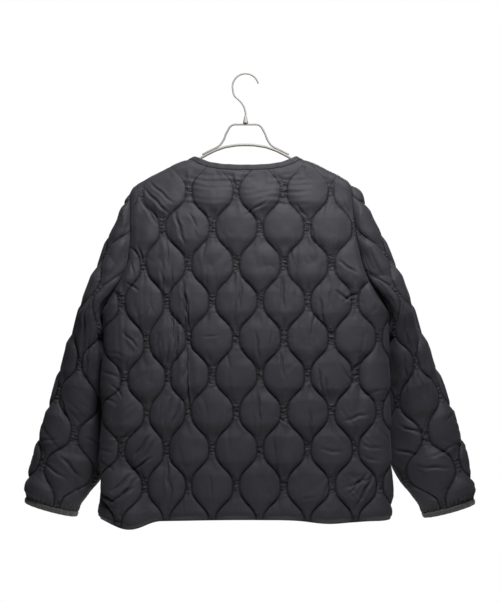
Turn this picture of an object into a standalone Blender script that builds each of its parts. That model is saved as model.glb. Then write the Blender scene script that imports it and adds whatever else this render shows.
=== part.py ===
"""Collarless quilted jacket on a slim steel hanger.

The origin is the inner crown of the hook, where a rail carries it.  +Z is up, the fronts
face -Y, the back faces +Y and the wearer's left is +X.  All sizes are in metres.

Every cloth panel is a wall: its plain inner face lies on a garment form that is worked out
from sections, and its outer face is raised between the rows of stitching.  "across" and
"height" are measured on the flat cloth of the body, "around" and "down" on a sleeve.
"""

import math
from collections import namedtuple

import bmesh
import bpy
import numpy as np
from mathutils.geometry import delaunay_2d_cdt

# ---------------------------------------------------------------- sizes of the cloth

SEAM_GAP = 0.0003          # air between two pieces where they are sewn together
SEAM_WALL = 0.0030         # thickness of the padded cloth along a row of stitching
PRESSED_WALL = 0.0018      # the same where a sleeve is folded together under the arm
PLACKET_WALL = 0.0050      # thickness of the pressed front edges
QUILT_RISE = 0.0065        # how far a cell stands above its stitching
EDGE_FADE = 0.016          # width over which a panel thins out towards its seams
PLACKET_FADE = 0.036       # the same along the pressed front edges

STITCH_PITCH = 0.0469      # mean distance between two neighbouring rows of stitching
STITCH_SWING = 0.0166      # how far a row swings to each side of its mean line
STITCH_WAVE = 0.1448       # length of one wave, which is the height of one cell
STITCH_STEPS = 8           # points on one wave of a row
BODY_STITCH_START = (-0.0049, -0.2330)     # across, height of a narrow neck's left row
SLEEVE_STITCH_START = (0.0046, 0.1328)     # around, down of the same on a sleeve

# ---------------------------------------------------------------- sizes of the body form

TOP_ROUND = 0.014          # radius with which the cloth turns over the shoulder line
TOP_FALL = 0.120           # distance below the shoulder over which the body opens out
FORWARD_SEAM = 0.013       # the shoulder seam lies this far in front of the shoulder line
HEM_HEIGHT = -0.8800
OVERLAP = 0.024            # width over which the left front lies on the right front
OVERLAP_LIFT = 0.0031      # half the distance between the two fronts where they overlap
NECK_BAND_WIDTH = 0.011
NECK_BAND_WALL = 0.0052

Section = namedtuple("Section", "height half_width side_round crown")
SECTIONS = (
    Section(-0.910, 0.2865, 0.027, 0.010),
    Section(-0.750, 0.2850, 0.028, 0.012),
    Section(-0.600, 0.2830, 0.028, 0.013),
    Section(-0.470, 0.2810, 0.027, 0.012),
    Section(-0.330, 0.2810, 0.026, 0.010),
    Section(-0.140, 0.2810, 0.026, 0.009),
)

ShoulderLine = namedtuple("ShoulderLine", "across height")
SHOULDER_LINE = (
    ShoulderLine(0.000, -0.1500),
    ShoulderLine(0.050, -0.1545),
    ShoulderLine(0.085, -0.1630),
    ShoulderLine(0.105, -0.1700),
    ShoulderLine(0.123, -0.1775),
    ShoulderLine(0.161, -0.1972),
    ShoulderLine(0.199, -0.2172),
    ShoulderLine(0.231, -0.2410),
    ShoulderLine(0.260, -0.2760),
    ShoulderLine(0.300, -0.3400),
)

Armhole = namedtuple("Armhole", "left right height")
ARMHOLE = (
    Armhole(0.2290, 0.2165, -0.300),
    Armhole(0.2300, 0.2250, -0.350),
    Armhole(0.2405, 0.2385, -0.395),
    Armhole(0.2590, 0.2560, -0.430),
    Armhole(0.2735, 0.2710, -0.452),
    Armhole(0.2850, 0.2835, -0.464),
)
ARMHOLE_TOP = {1: 0.2310, -1: 0.2105}      # where each armhole crosses the shoulder line
UNDERARM_HEIGHT = -0.470
ARMHOLE_STEPS = 20
SIDE_SEAM_STEPS = 28
SHOULDER_STEPS = 8
HEM_SPACING = 0.020

NeckPoint = namedtuple("NeckPoint", "across height")
BACK_NECK = (              # the seam below the neck band, from the centre to the shoulder
    NeckPoint(0.000, -0.1935),
    NeckPoint(0.030, -0.1927),
    NeckPoint(0.058, -0.1898),
    NeckPoint(0.082, -0.1830),
    NeckPoint(0.098, -0.1735),
)
FRONT_NECK = (
    NeckPoint(0.1115, -0.1900),
    NeckPoint(0.1095, -0.2150),
    NeckPoint(0.0960, -0.2500),
    NeckPoint(0.0680, -0.2900),
    NeckPoint(0.0340, -0.3230),
)
NECK_AT_SHOULDER = 0.1080  # where the neck seam crosses the shoulder line
FRONT_NECK_END = -0.3480   # height at which the neck seam meets the front edge

Fold = namedtuple("Fold", "face across height slant half_width half_length depth")
FOLDS = (                  # soft ridges (+) and troughs (-) of the hanging body
    Fold(1, 0.238, -0.885, 0.10, 0.052, 0.110, 0.020),
    Fold(1, 0.112, -0.560, 0.02, 0.016, 0.150, -0.006),
    Fold(1, 0.150, -0.760, -0.25, 0.020, 0.130, -0.005),
    Fold(1, -0.158, -0.880, 0.05, 0.050, 0.120, 0.010),
    Fold(1, -0.225, -0.620, -0.08, 0.018, 0.130, -0.005),
    Fold(1, -0.060, -0.800, 0.06, 0.024, 0.110, -0.004),
    Fold(-1, 0.120, -0.870, -0.05, 0.050, 0.120, 0.010),
    Fold(-1, -0.130, -0.860, 0.08, 0.046, 0.110, 0.009),
    Fold(-1, 0.090, -0.560, 0.10, 0.018, 0.120, -0.005),
    Fold(-1, -0.095, -0.640, -0.08, 0.018, 0.130, -0.005),
)
HemDrop = namedtuple("HemDrop", "face across half_width drop")
HEM_DROPS = (              # the hem hangs lower where a fold reaches it
    HemDrop(1, 0.236, 0.050, 0.016),
    HemDrop(1, -0.158, 0.070, 0.006),
    HemDrop(-1, 0.120, 0.060, 0.005),
    HemDrop(-1, -0.130, 0.060, 0.005),
)

# ---------------------------------------------------------------- sizes of the sleeves

SLEEVE_START = (0.229, -0.2388)            # across, height where "down" is zero
SLEEVE_ANGLE = math.radians(16.0)          # a sleeve hangs this far off the vertical
SLEEVE_END = 0.6450
CUFF_BAND_END = 0.6560
CUFF_GATHERS = 11
CUFF_STEPS = 4 * CUFF_GATHERS
SLEEVE_SEAM_STEPS = 16
SLEEVE_BLEND = 0.150       # length over which a sleeve leaves the shape of its armhole
SLEEVE_CLEAR = 0.0175      # distance kept from the body's inner face to a sleeve's
SLEEVE_SWAY = {1: 0.0, -1: 0.016}          # how far each cuff swings out

SleeveSection = namedtuple("SleeveSection", "down outer width half_depth forward lean flat_width")
SLEEVE_SECTIONS = (
    SleeveSection(-0.040, -0.0250, 0.050, 0.012, 0.000, 0.00, 0.450),
    SleeveSection(0.015, -0.0012, 0.062, 0.021, 0.000, 0.00, 0.446),
    SleeveSection(0.060, 0.0092, 0.078, 0.029, 0.000, 0.00, 0.440),
    SleeveSection(0.120, 0.0190, 0.088, 0.036, 0.000, 0.00, 0.430),
    SleeveSection(0.165, 0.0245, 0.084, 0.041, -0.001, 0.00, 0.420),
    SleeveSection(0.200, 0.0285, 0.063, 0.045, -0.004, 0.02, 0.412),
    SleeveSection(0.237, 0.0316, 0.038, 0.049, -0.011, 0.08, 0.404),
    SleeveSection(0.285, 0.0332, 0.054, 0.051, -0.027, 0.18, 0.390),
    SleeveSection(0.335, 0.0343, 0.071, 0.050, -0.036, 0.24, 0.372),
    SleeveSection(0.385, 0.0366, 0.099, 0.047, -0.039, 0.26, 0.354),
    SleeveSection(0.440, 0.0390, 0.121, 0.043, -0.038, 0.26, 0.334),
    SleeveSection(0.500, 0.0400, 0.133, 0.040, -0.036, 0.24, 0.312),
    SleeveSection(0.560, 0.0402, 0.136, 0.036, -0.033, 0.18, 0.290),
    SleeveSection(0.607, 0.0390, 0.117, 0.031, -0.030, 0.12, 0.270),
    SleeveSection(0.645, 0.0350, 0.102, 0.026, -0.028, 0.06, 0.250),
    SleeveSection(0.665, 0.0335, 0.100, 0.025, -0.028, 0.06, 0.248),
)

# ---------------------------------------------------------------- sizes of the studs and hanger

STUD_HEIGHTS = (-0.385, -0.495, -0.605, -0.715, -0.825)
STUD_PROFILE = (           # radius, distance out from the cloth
    (0.0000, 0.0000), (0.0058, 0.0000), (0.0062, 0.0005), (0.0060, 0.0012),
    (0.0046, 0.0019), (0.0024, 0.0022), (0.0000, 0.0023),
)
HOOK_RADIUS = 0.0261       # to the middle of the wire
HOOK_WIRE = 0.00175        # radius of the wire
HOOK_TIP_ANGLE = math.radians(13.7)
HOOK_TURN_END = math.radians(192.0)
HOOK_STEM = ((0.0228, -0.0412), (0.0140, -0.0506), (0.0060, -0.0600), (0.0014, -0.0715))
HOOK_STEM_END = -0.0820
FERRULE_PROFILE = (        # radius, height
    (0.0000, -0.0823), (0.0020, -0.0823), (0.0027, -0.0840), (0.0054, -0.0965),
    (0.0054, -0.0976), (0.0000, -0.0976),
)
FRAME_WIRE = 0.0020        # radius of the wire between ferrule and shoulder bar
FRAME_TOP = -0.0999
FRAME_HALF_TOP = 0.029
FRAME_LEG = ((0.0536, -0.1430), (0.0464, -0.1350), (0.0392, -0.1190))
FRAME_FOOT = (0.0855, 0.0780, 0.0700, 0.0620)      # each foot lies along the top of the bar
FRAME_SEAT = 0.0001        # what a foot is set off the bar, so that the two do not overlap
FRAME_CORNER = 0.009
BAR_HALF_HEIGHT = 0.0026
BAR_HALF_DEPTH = 0.0036
BAR_END = 0.184
BAR_UNDER_CLOTH = 0.0010   # air between the bar and the cloth that hangs on it
BAR_UNDER_NECK = 0.0024    # the same beside the neck band
BarPoint = namedtuple("BarPoint", "across height")
BAR_ARCH = (               # the part of the bar that stands in the neck opening
    BarPoint(0.000, -0.1407),
    BarPoint(0.030, -0.1432),
    BarPoint(0.052, -0.1489),
    BarPoint(0.072, -0.1576),
    BarPoint(0.090, -0.1672),
)


# ---------------------------------------------------------------- small tools

def column(rows, name, at, key=None):
    """Value of one named column of a table, read smoothly at the key column's values."""
    key = key or rows[0]._fields[0]
    pairs = sorted((getattr(row, key), getattr(row, name)) for row in rows)
    stops = np.array([pair[0] for pair in pairs])
    values = np.array([pair[1] for pair in pairs])
    return smooth_read(stops, values, at)


def smooth_read(stops, values, at):
    """Cubic reading of values between stops; the end values hold beyond the table."""
    at = np.clip(np.asarray(at, dtype=float), stops[0], stops[-1])
    slopes = np.gradient(values, stops)
    low = np.clip(np.searchsorted(stops, at, side="right") - 1, 0, len(stops) - 2)
    step = stops[low + 1] - stops[low]
    t = (at - stops[low]) / step
    start = values[low] + slopes[low] * step * t
    end = values[low + 1] - slopes[low + 1] * step * (1 - t)
    ease = t * t * (3 - 2 * t)
    return start * (1 - ease) + end * ease


def smooth_path(points, count):
    """Points at even distances along a smooth curve through the given ones."""
    points = np.asarray(points, dtype=float)
    chords = np.linalg.norm(np.diff(points, axis=0), axis=1)
    stops = np.concatenate(([0.0], np.cumsum(chords)))
    fine = np.linspace(0, stops[-1], 400)
    curve = np.stack([smooth_read(stops, points[:, axis], fine) for axis in range(points.shape[1])], 1)
    lengths = np.concatenate(([0.0], np.cumsum(np.linalg.norm(np.diff(curve, axis=0), axis=1))))
    even = np.linspace(0, lengths[-1], count)
    return np.stack([np.interp(even, lengths, curve[:, axis]) for axis in range(points.shape[1])], 1)


def ease(value):
    """Smooth step from 0 to 1."""
    value = np.clip(value, 0, 1)
    return value * value * (3 - 2 * value)


def bump(value):
    """Soft hill of height 1 at 0 that ends at -1 and 1."""
    return np.where(np.abs(value) < 1, 0.5 + 0.5 * np.cos(np.pi * np.clip(value, -1, 1)), 0.0)


def soft_lower(first, second, blend):
    """The lower of two values, with the corner between them rounded over blend."""
    overlap = np.clip(blend - np.abs(first - second), 0, None) / blend
    return np.minimum(first, second) - overlap * overlap * blend / 4


def distance_to_path(points, path):
    """Distance of each point to a closed path in the plane."""
    nearest = np.full(len(points), np.inf)
    for start, end in zip(path, np.roll(path, -1, axis=0)):
        along = end - start
        t = np.clip((points - start) @ along / (along @ along), 0, 1)
        gap = points - (start + t[:, None] * along)
        nearest = np.minimum(nearest, np.hypot(gap[:, 0], gap[:, 1]))
    return nearest


def inside_path(points, path):
    """True for each point that lies inside a closed path in the plane."""
    inside = np.zeros(len(points), dtype=bool)
    for start, end in zip(path, np.roll(path, -1, axis=0)):
        crosses = (start[1] > points[:, 1]) != (end[1] > points[:, 1])
        rise = end[1] - start[1] if end[1] != start[1] else 1e-12
        reach = start[0] + (points[:, 1] - start[1]) * (end[0] - start[0]) / rise
        inside ^= crosses & (points[:, 0] < reach)
    return inside


def shrink_path(path, distance):
    """A closed path moved inwards by distance."""
    before = path - np.roll(path, 1, axis=0)
    after = np.roll(path, -1, axis=0) - path
    area = np.sum(path[:, 0] * np.roll(path[:, 1], -1) - np.roll(path[:, 0], -1) * path[:, 1])
    turn = 1.0 if area > 0 else -1.0
    before = turn * np.stack([-before[:, 1], before[:, 0]], 1) / np.linalg.norm(before, axis=1)[:, None]
    after = turn * np.stack([-after[:, 1], after[:, 0]], 1) / np.linalg.norm(after, axis=1)[:, None]
    middle = before + after
    middle /= np.maximum(np.sum(middle * before, axis=1), 0.4)[:, None]
    return path + distance * middle


def outward(place, points, step=0.0004):
    """Unit normals of a surface that place() gives, pointing out of the garment."""
    right = place(points + (step, 0)) - place(points - (step, 0))
    up = place(points + (0, step)) - place(points - (0, step))
    normal = np.cross(up, right)
    return normal / np.linalg.norm(normal, axis=1)[:, None]


# ---------------------------------------------------------------- form of the body

def shoulder_cloth(across):
    """Flat-cloth height of the shoulder line."""
    return column(SHOULDER_LINE, "height", np.abs(across)) + (math.pi / 2 - 1) * TOP_ROUND


def side_seam_across(height):
    """Flat-cloth distance from the centre line to the side seam."""
    half_width = column(SECTIONS, "half_width", height)
    side_round = column(SECTIONS, "side_round", height)
    return half_width + (math.pi / 2 - 1) * side_round


def body_folds(across, height, face):
    """How far the folds move the body's cloth outwards."""
    moved = np.zeros_like(across)
    for fold in FOLDS:
        if fold.face != face:
            continue
        along = height - fold.height
        offset = across - fold.across - fold.slant * along
        moved += fold.depth * bump(offset / fold.half_width) * bump(along / fold.half_length)
    return moved


def body_point(points, face):
    """Inner face of the body's cloth; face is 1 on the back and -1 on the fronts."""
    across, height = points[:, 0], points[:, 1]
    half_width = column(SECTIONS, "half_width", height)
    side_round = column(SECTIONS, "side_round", height)
    crown = column(SECTIONS, "crown", height)
    flat = half_width - side_round
    turn = np.maximum(np.abs(across) - flat, 0) / side_round
    x = np.where(turn > 0, flat + side_round * np.sin(turn), np.abs(across))
    line = column(SHOULDER_LINE, "height", x)
    below = line + (math.pi / 2 - 1) * TOP_ROUND - height
    roll = np.minimum(np.abs(below) / TOP_ROUND, math.pi / 2)
    hang = np.maximum(np.abs(below) - TOP_ROUND * math.pi / 2, 0)
    full = side_round + crown
    opened = TOP_ROUND * np.sin(roll) + (full - TOP_ROUND) * (1 - np.exp(-hang / TOP_FALL))
    share = (side_round * np.cos(turn) + crown * (1 - (x / half_width) ** 2)) / full
    depth = opened * share + body_folds(across, height, face) * np.clip(share, 0, 1)
    z = line - TOP_ROUND * (1 - np.cos(roll)) - hang
    return np.stack([np.sign(across) * x, face * np.sign(below) * depth, z], 1)


def hem_height(across, face):
    """Height of the hem, which drops where a fold reaches it."""
    height = np.full_like(across, HEM_HEIGHT)
    for drop in HEM_DROPS:
        if drop.face == face:
            height -= drop.drop * bump((across - drop.across) / drop.half_width)
    return height


# ---------------------------------------------------------------- seams of the body

def armhole_half(side):
    """Armhole from the shoulder line to the underarm, as across and height on one side."""
    top = ARMHOLE_TOP[side]
    across = [row.left if side > 0 else row.right for row in ARMHOLE]
    heights = [row.height for row in ARMHOLE]
    points = [(top, float(shoulder_cloth(np.array([top]))[0]))]
    points += list(zip(across, heights))
    points.append((float(side_seam_across(UNDERARM_HEIGHT)), UNDERARM_HEIGHT))
    curve = smooth_path(points, 200)
    lengths = np.concatenate(([0.0], np.cumsum(np.linalg.norm(np.diff(curve, axis=0), axis=1))))
    return curve, lengths


def armhole_fractions(side):
    """Places along half an armhole that have a point; the third is the shoulder seam's end."""
    lengths = armhole_half(side)[1]
    seam = FORWARD_SEAM / lengths[-1]
    return np.concatenate(([0.0, seam / 2], np.linspace(seam, 1.0, ARMHOLE_STEPS)))


def armhole_points(side, fractions, push=0.0):
    """Cloth points of half an armhole, moved away from the body by push."""
    curve, lengths = armhole_half(side)
    at = fractions * lengths[-1]
    points = np.stack([np.interp(at, lengths, curve[:, axis]) for axis in (0, 1)], 1)
    tangent = np.gradient(curve, axis=0)
    tangent = np.stack([np.interp(at, lengths, tangent[:, axis]) for axis in (0, 1)], 1)
    tangent /= np.linalg.norm(tangent, axis=1)[:, None]
    points += push * np.stack([-tangent[:, 1], tangent[:, 0]], 1)
    return points * (side, 1)


def side_seam_points(side):
    """Cloth points of a side seam from the underarm down to the hem."""
    heights = np.linspace(UNDERARM_HEIGHT, HEM_HEIGHT, SIDE_SEAM_STEPS + 1)
    return np.stack([side * side_seam_across(heights), heights], 1)


def over_shoulder(points):
    """Cloth points of a front as seen from the back's cloth, which goes on over the shoulder."""
    return np.stack([points[:, 0], 2 * shoulder_cloth(points[:, 0]) - points[:, 1]], 1)


def shoulder_seam_points(side, face):
    """Cloth points of a shoulder seam from the neck to the armhole."""
    end = armhole_points(side, armhole_fractions(side)[2:3])
    across = np.linspace(NECK_AT_SHOULDER + 0.0020, abs(end[0, 0]), SHOULDER_STEPS + 1)[:-1]
    seam = np.stack([side * across, shoulder_cloth(across) - FORWARD_SEAM], 1)
    seam = np.concatenate([seam, end])
    return over_shoulder(seam) if face > 0 else seam


def back_neck_points():
    """Cloth points of the back's neck seam, from the right shoulder seam to the left one."""
    corner = shoulder_seam_points(1, 1)[0]
    top = shoulder_cloth(np.array([NECK_AT_SHOULDER]))[0]
    half = [(row.across, row.height) for row in BACK_NECK] + [(NECK_AT_SHOULDER, top), tuple(corner)]
    whole = [(-across, height) for across, height in reversed(half[1:])] + half
    return smooth_path(whole, 27)


def front_neck_points(side):
    """Cloth points of a front's neck seam, from the shoulder seam to the front edge."""
    corner = shoulder_seam_points(1, -1)[0]
    points = [tuple(corner)] + [(row.across, row.height) for row in FRONT_NECK]
    points.append((-OVERLAP / 2, FRONT_NECK_END))
    return smooth_path(points, 17) * (side, 1)


def hem_points(start, end, face):
    """Cloth points of a hem, between two ends that the other edges already have."""
    count = max(2, round(abs(end - start) / HEM_SPACING))
    across = np.linspace(start, end, count + 1)[1:-1]
    return np.stack([across, hem_height(across, face)], 1)


def back_outline():
    """Closed edge of the back, clockwise or not."""
    halves = []
    for side in (1, -1):
        fractions = armhole_fractions(side)
        armhole = armhole_points(side, fractions)
        over = over_shoulder(armhole[1:2])
        parts = [shoulder_seam_points(side, 1)[1:], over, armhole, side_seam_points(side)[1:]]
        halves.append(np.concatenate(parts))
    edge = side_seam_points(1)[-1, 0]
    hem = hem_points(edge, -edge, 1)
    return np.concatenate([back_neck_points(), halves[0], hem, halves[1][::-1]])


def front_outline(side):
    """Closed edge of a front."""
    neck = front_neck_points(side)[::-1]
    front_edge = neck[0, 0]
    seam = side_seam_points(side)
    hem = hem_points(seam[-1, 0], front_edge, -1)
    corner = np.array([[front_edge, hem_height(np.array([front_edge]), -1)[0]]])
    steps = round((FRONT_NECK_END - HEM_HEIGHT) / HEM_SPACING)
    heights = np.linspace(corner[0, 1], neck[0, 1], steps + 1)[1:-1]
    placket = np.stack([np.full_like(heights, front_edge), heights], 1)
    armhole = armhole_points(side, armhole_fractions(side)[2:])
    parts = [neck, shoulder_seam_points(side, -1)[1:-1], armhole, seam[1:], hem, corner, placket]
    return np.concatenate(parts)


# ---------------------------------------------------------------- form of the sleeves

def ellipse_turns():
    """Table of the angle round an ellipse for each share of its edge, by how flat it is."""
    flatness = np.linspace(0.1, 1.2, 23)
    shares = np.linspace(0, 1, 65)
    angles = np.linspace(0, math.pi, 721)
    turns = []
    for ratio in flatness:
        speed = np.hypot(np.sin(angles), ratio * np.cos(angles))
        run = np.concatenate(([0.0], np.cumsum((speed[1:] + speed[:-1]) / 2)))
        turns.append(np.interp(shares * run[-1], run, angles))
    return flatness, shares, np.array(turns)


FLATNESS, SHARES, TURNS = ellipse_turns()


def section_turn(share, ratio):
    """Angle round an ellipse at a share of its half edge, from 0 to 1."""
    row = (np.clip(ratio, FLATNESS[0], FLATNESS[-1]) - FLATNESS[0]) / (FLATNESS[1] - FLATNESS[0])
    low = np.clip(row.astype(int), 0, len(FLATNESS) - 2)
    place = np.clip(share, 0, 1) * (len(SHARES) - 1)
    left = np.clip(place.astype(int), 0, len(SHARES) - 2)
    across, up = place - left, row - low
    lower = TURNS[low, left] * (1 - across) + TURNS[low, left + 1] * across
    upper = TURNS[low + 1, left] * (1 - across) + TURNS[low + 1, left + 1] * across
    return lower * (1 - up) + upper * up


def sleeve_tube(share, down, side):
    """Free form of a hanging sleeve; share runs from -1 to 1 round it, 0 on its outer fold."""
    outer = column(SLEEVE_SECTIONS, "outer", down) + SLEEVE_SWAY[side] * ease((down - 0.20) / 0.30)
    width = column(SLEEVE_SECTIONS, "width", down)
    half_depth = column(SLEEVE_SECTIONS, "half_depth", down)
    turn = section_turn(np.abs(share), 2 * half_depth / width)
    reach = -width / 2 * (1 - np.cos(turn))
    y = column(SLEEVE_SECTIONS, "forward", down) + column(SLEEVE_SECTIONS, "lean", down) * reach
    y = y + half_depth * np.sin(turn) * np.sign(share)
    out = outer + reach
    x = SLEEVE_START[0] + down * math.sin(SLEEVE_ANGLE) + out * math.cos(SLEEVE_ANGLE)
    z = SLEEVE_START[1] - down * math.cos(SLEEVE_ANGLE) + out * math.sin(SLEEVE_ANGLE)
    return np.stack([x, soft_lower(y, body_limit(x, z), 0.010), z], 1)


def body_limit(x, z):
    """Highest y at which a sleeve's cloth may hang in front of the body."""
    side_round = column(SECTIONS, "side_round", z)
    flat = column(SECTIONS, "half_width", z) - side_round
    reach = side_round + SLEEVE_CLEAR
    crown = column(SECTIONS, "crown", z) * (1 - np.minimum(x / (flat + side_round), 1) ** 2)
    inside = np.clip((x - flat) / reach, 0, 1)
    limit = 3.0 * np.maximum(x - flat - reach, 0) - reach * np.sqrt(1 - inside * inside) - crown
    return limit + 0.12 * (1 - ease((-0.470 - z) / 0.070))


def armhole_frame(share, side):
    """The armhole in space, with the ways out of the body along its cloth and off it."""
    fractions = np.abs(share)
    edge = armhole_points(side, fractions)
    away = (armhole_points(side, fractions, push=0.001) - edge) / 0.001
    places, ways, normals = [], [], []
    for face in (1, -1):
        place = (lambda points, face=face: body_point(points, face))
        places.append(place(edge))
        ways.append((place(edge + away * 0.0004) - place(edge - away * 0.0004)) / 0.0008)
        normals.append(outward(place, edge) * face)
    back = (share >= 0)[:, None]
    return [np.where(back, *pair) * (side, 1, 1) for pair in (places, ways, normals)]


def sleeve_down(points):
    """Distance down a sleeve of points in space, on the wearer's left."""
    along = (points[:, 0] - SLEEVE_START[0]) * math.sin(SLEEVE_ANGLE)
    return along - (points[:, 2] - SLEEVE_START[1]) * math.cos(SLEEVE_ANGLE)


def hang_from(ring, share, down, side):
    """A sleeve's cloth, which leaves its ring at the armhole for the free form of the tube."""
    start = sleeve_down(ring)
    leaving = 1 - ease((down - start) / SLEEVE_BLEND)
    return sleeve_tube(share, down, side) + (ring - sleeve_tube(share, start, side)) * leaving[:, None]


def fold_at_armhole(side):
    """How sharply the sleeve turns back along its armhole seam, for shares from -1 to 1."""
    shares = np.linspace(-1, 1, 161)
    ring, way, normal = armhole_frame(shares, side)
    along = np.gradient(ring, axis=0)
    leave = hang_from(ring, shares, sleeve_down(ring) + 0.004, side) - ring
    own = np.cross(leave, along)
    turned_by = np.arctan2(-np.sum(own * way, axis=1), np.sum(own * normal, axis=1))
    turned_by = np.pad(np.clip(turned_by, 0, math.radians(165)), 8, mode="edge")
    return shares, np.convolve(turned_by, np.full(17, 1 / 17), mode="valid")


def sleeve_ring(share, side):
    """Where a sleeve's inner face starts, and its normal there: beside the body's edge."""
    ring, way, normal = armhole_frame(share, side)
    turned_by = np.interp(share, *ARMHOLE_FOLDS[side])[:, None]
    cosine, sine = np.cos(turned_by), np.sin(turned_by)
    ring = ring + SEAM_WALL * (normal * (1 - cosine) + way * sine)
    ring += 1.5 * SEAM_GAP * (way * np.cos(turned_by / 2) + normal * np.sin(turned_by / 2))
    return ring, normal * cosine - way * sine


ARMHOLE_FOLDS = {side: fold_at_armhole(side) for side in (1, -1)}


def sleeve_half_flat(down):
    """Half the width of a sleeve's flat cloth."""
    return column(SLEEVE_SECTIONS, "flat_width", down) / 2


def sleeve_point(points, side):
    """Inner face of a sleeve's cloth, from distances around and down."""
    share = np.clip(points[:, 0] / sleeve_half_flat(points[:, 1]), -1, 1)
    ring = sleeve_ring(share, side)[0]
    return hang_from(ring, share, points[:, 1], side) * (side, 1, 1)


def sleeve_outward(points, side):
    """Normals of a sleeve, which along the armhole turn away from the body's edge."""
    own = outward(lambda flat: sleeve_point(flat, side), points) * side
    share = np.clip(points[:, 0] / sleeve_half_flat(points[:, 1]), -1, 1)
    ring, seam = sleeve_ring(share, side)
    match = (1 - ease((points[:, 1] - sleeve_down(ring)) / 0.016))[:, None]
    normal = own * (1 - match) + seam * (side, 1, 1) * match
    return normal / np.linalg.norm(normal, axis=1)[:, None]


def sleeve_outline(side):
    """Closed edge of a sleeve: the cap, the underarm seam's two edges and the cuff."""
    fractions = armhole_fractions(side)
    shares = np.concatenate((-fractions[:0:-1], fractions))
    start = sleeve_down(sleeve_ring(shares, side)[0])
    cap = np.stack([shares * sleeve_half_flat(start), start], 1)
    seam_down = np.linspace(start[-1], SLEEVE_END, SLEEVE_SEAM_STEPS + 1)[1:-1]
    back_seam = np.stack([sleeve_half_flat(seam_down), seam_down], 1)
    cuff_shares = np.linspace(1, -1, CUFF_STEPS + 1)
    cuff = np.stack([cuff_shares * sleeve_half_flat(SLEEVE_END), np.full(len(cuff_shares), SLEEVE_END)], 1)
    front_seam = back_seam[::-1] * (-1, 1)
    return np.concatenate([cap, back_seam, cuff, front_seam])


def sleeve_partners(side):
    """Which edge points of a sleeve's outline meet in its underarm seam."""
    cap = 2 * len(armhole_fractions(side)) - 1
    last = cap + SLEEVE_SEAM_STEPS - 1 + CUFF_STEPS + SLEEVE_SEAM_STEPS
    back = [cap - 1 + step for step in range(SLEEVE_SEAM_STEPS + 1)]
    front = [0] + [last - step for step in range(1, SLEEVE_SEAM_STEPS + 1)]
    return {**dict(zip(front, back)), **{index: index for index in back}}


# ---------------------------------------------------------------- quilting

def stitch_row(number, along, start):
    """Where one row of stitching lies, at distances along its length."""
    phase = 2 * math.pi * (along - start[1]) / STITCH_WAVE
    wave = (np.cos(phase) - 0.08 * np.cos(3 * phase)) / 0.92
    swing = STITCH_SWING if number % 2 == 0 else -STITCH_SWING
    return start[0] + number * STITCH_PITCH + swing * wave


def puff(points, start):
    """Share of the full rise at each point: 0 on the stitching, most in mid-cell."""
    number = np.floor((points[:, 0] - start[0]) / STITCH_PITCH).astype(int)
    rise = np.zeros(len(points))
    for shift in (-1, 0, 1):
        for parity in (0, 1):
            here = (number + shift) % 2 == parity
            left = stitch_row(parity, points[:, 1], start) + (number + shift - parity) * STITCH_PITCH
            right = stitch_row(parity + 1, points[:, 1], start) + (number + shift - parity) * STITCH_PITCH
            width = right - left
            share = (points[:, 0] - left) / width
            inside = here & (share > 0) & (share < 1)
            dome = np.sqrt(np.clip(4 * share * (1 - share), 0, 1))
            rise = np.where(inside, dome * np.minimum(1, 0.16 + width / 0.075), rise)
    return rise


def quilt_points(outline, start):
    """Rows of stitching and points between them that fit inside a panel's edge."""
    low, high = outline.min(axis=0), outline.max(axis=0)
    step = STITCH_WAVE / STITCH_STEPS
    first = math.floor((low[1] - start[1]) / step)
    last = math.ceil((high[1] - start[1]) / step)
    along = start[1] + step * np.arange(first, last + 1)
    numbers = range(math.floor((low[0] - start[0]) / STITCH_PITCH) - 1,
                    math.ceil((high[0] - start[0]) / STITCH_PITCH) + 1)
    rows, between = [], []
    for number in numbers:
        row = np.stack([stitch_row(number, along, start), along], 1)
        rows.append(row)
        width = stitch_row(number + 1, along, start) - row[:, 0]
        for (left, place), gap in zip(row, width):
            count = 0 if gap < 0.024 else 1 if gap < 0.050 else 2
            for index in range(count):
                share = (index + 1) / (count + 1)
                between.append((left + gap * share, place))
    return rows, np.array(between)


def triangulate(outline, rows, loose):
    """Triangles inside a closed edge that follow the rows; the edge's points come first."""
    points = [tuple(point) for point in outline]
    edges = []
    for row in rows:
        fits = inside_path(row, outline) & (distance_to_path(row, outline) > 0.0055)
        previous = None
        for point, fit in zip(row, fits):
            if fit:
                points.append(tuple(point))
                if previous is not None:
                    edges.append((previous, len(points) - 1))
            previous = len(points) - 1 if fit else None
    fits = inside_path(loose, outline) & (distance_to_path(loose, outline) > 0.0065)
    points += [tuple(point) for point in loose[fits]]
    loop = list(range(len(outline)))
    found = delaunay_2d_cdt(points, edges, [loop], 1, 1e-7)
    order = {}
    for index, sources in enumerate(found[3]):
        for source in sources:
            order[source] = index
    edge_first = [order[index] for index in loop]
    rest = [index for index in range(len(found[0])) if index not in set(edge_first)]
    renumber = {old: new for new, old in enumerate(edge_first + rest)}
    flat = np.array([tuple(found[0][index]) for index in edge_first + rest])
    faces = [[renumber[corner] for corner in face] for face in found[2]]
    return flat, faces


def with_extra(points, extra, apart):
    """Points with the extra ones added, and without those that stand too near to them."""
    extra = np.array(extra).reshape(-1, 2)
    if not len(extra):
        return points
    gaps = np.linalg.norm(points[:, None] - extra[None], axis=2).min(axis=1)
    return np.concatenate([points[gaps > apart], extra])


def grid(low, high, spacing, extra=()):
    """Loose points on a plain grid, with some extra ones."""
    counts = [max(2, round((high[axis] - low[axis]) / spacing[axis])) for axis in (0, 1)]
    across = np.linspace(low[0], high[0], counts[0] + 1)
    up = np.linspace(low[1], high[1], counts[1] + 1)
    return with_extra(np.array([(x, y) for x in across for y in up]), extra, 0.014)


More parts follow.
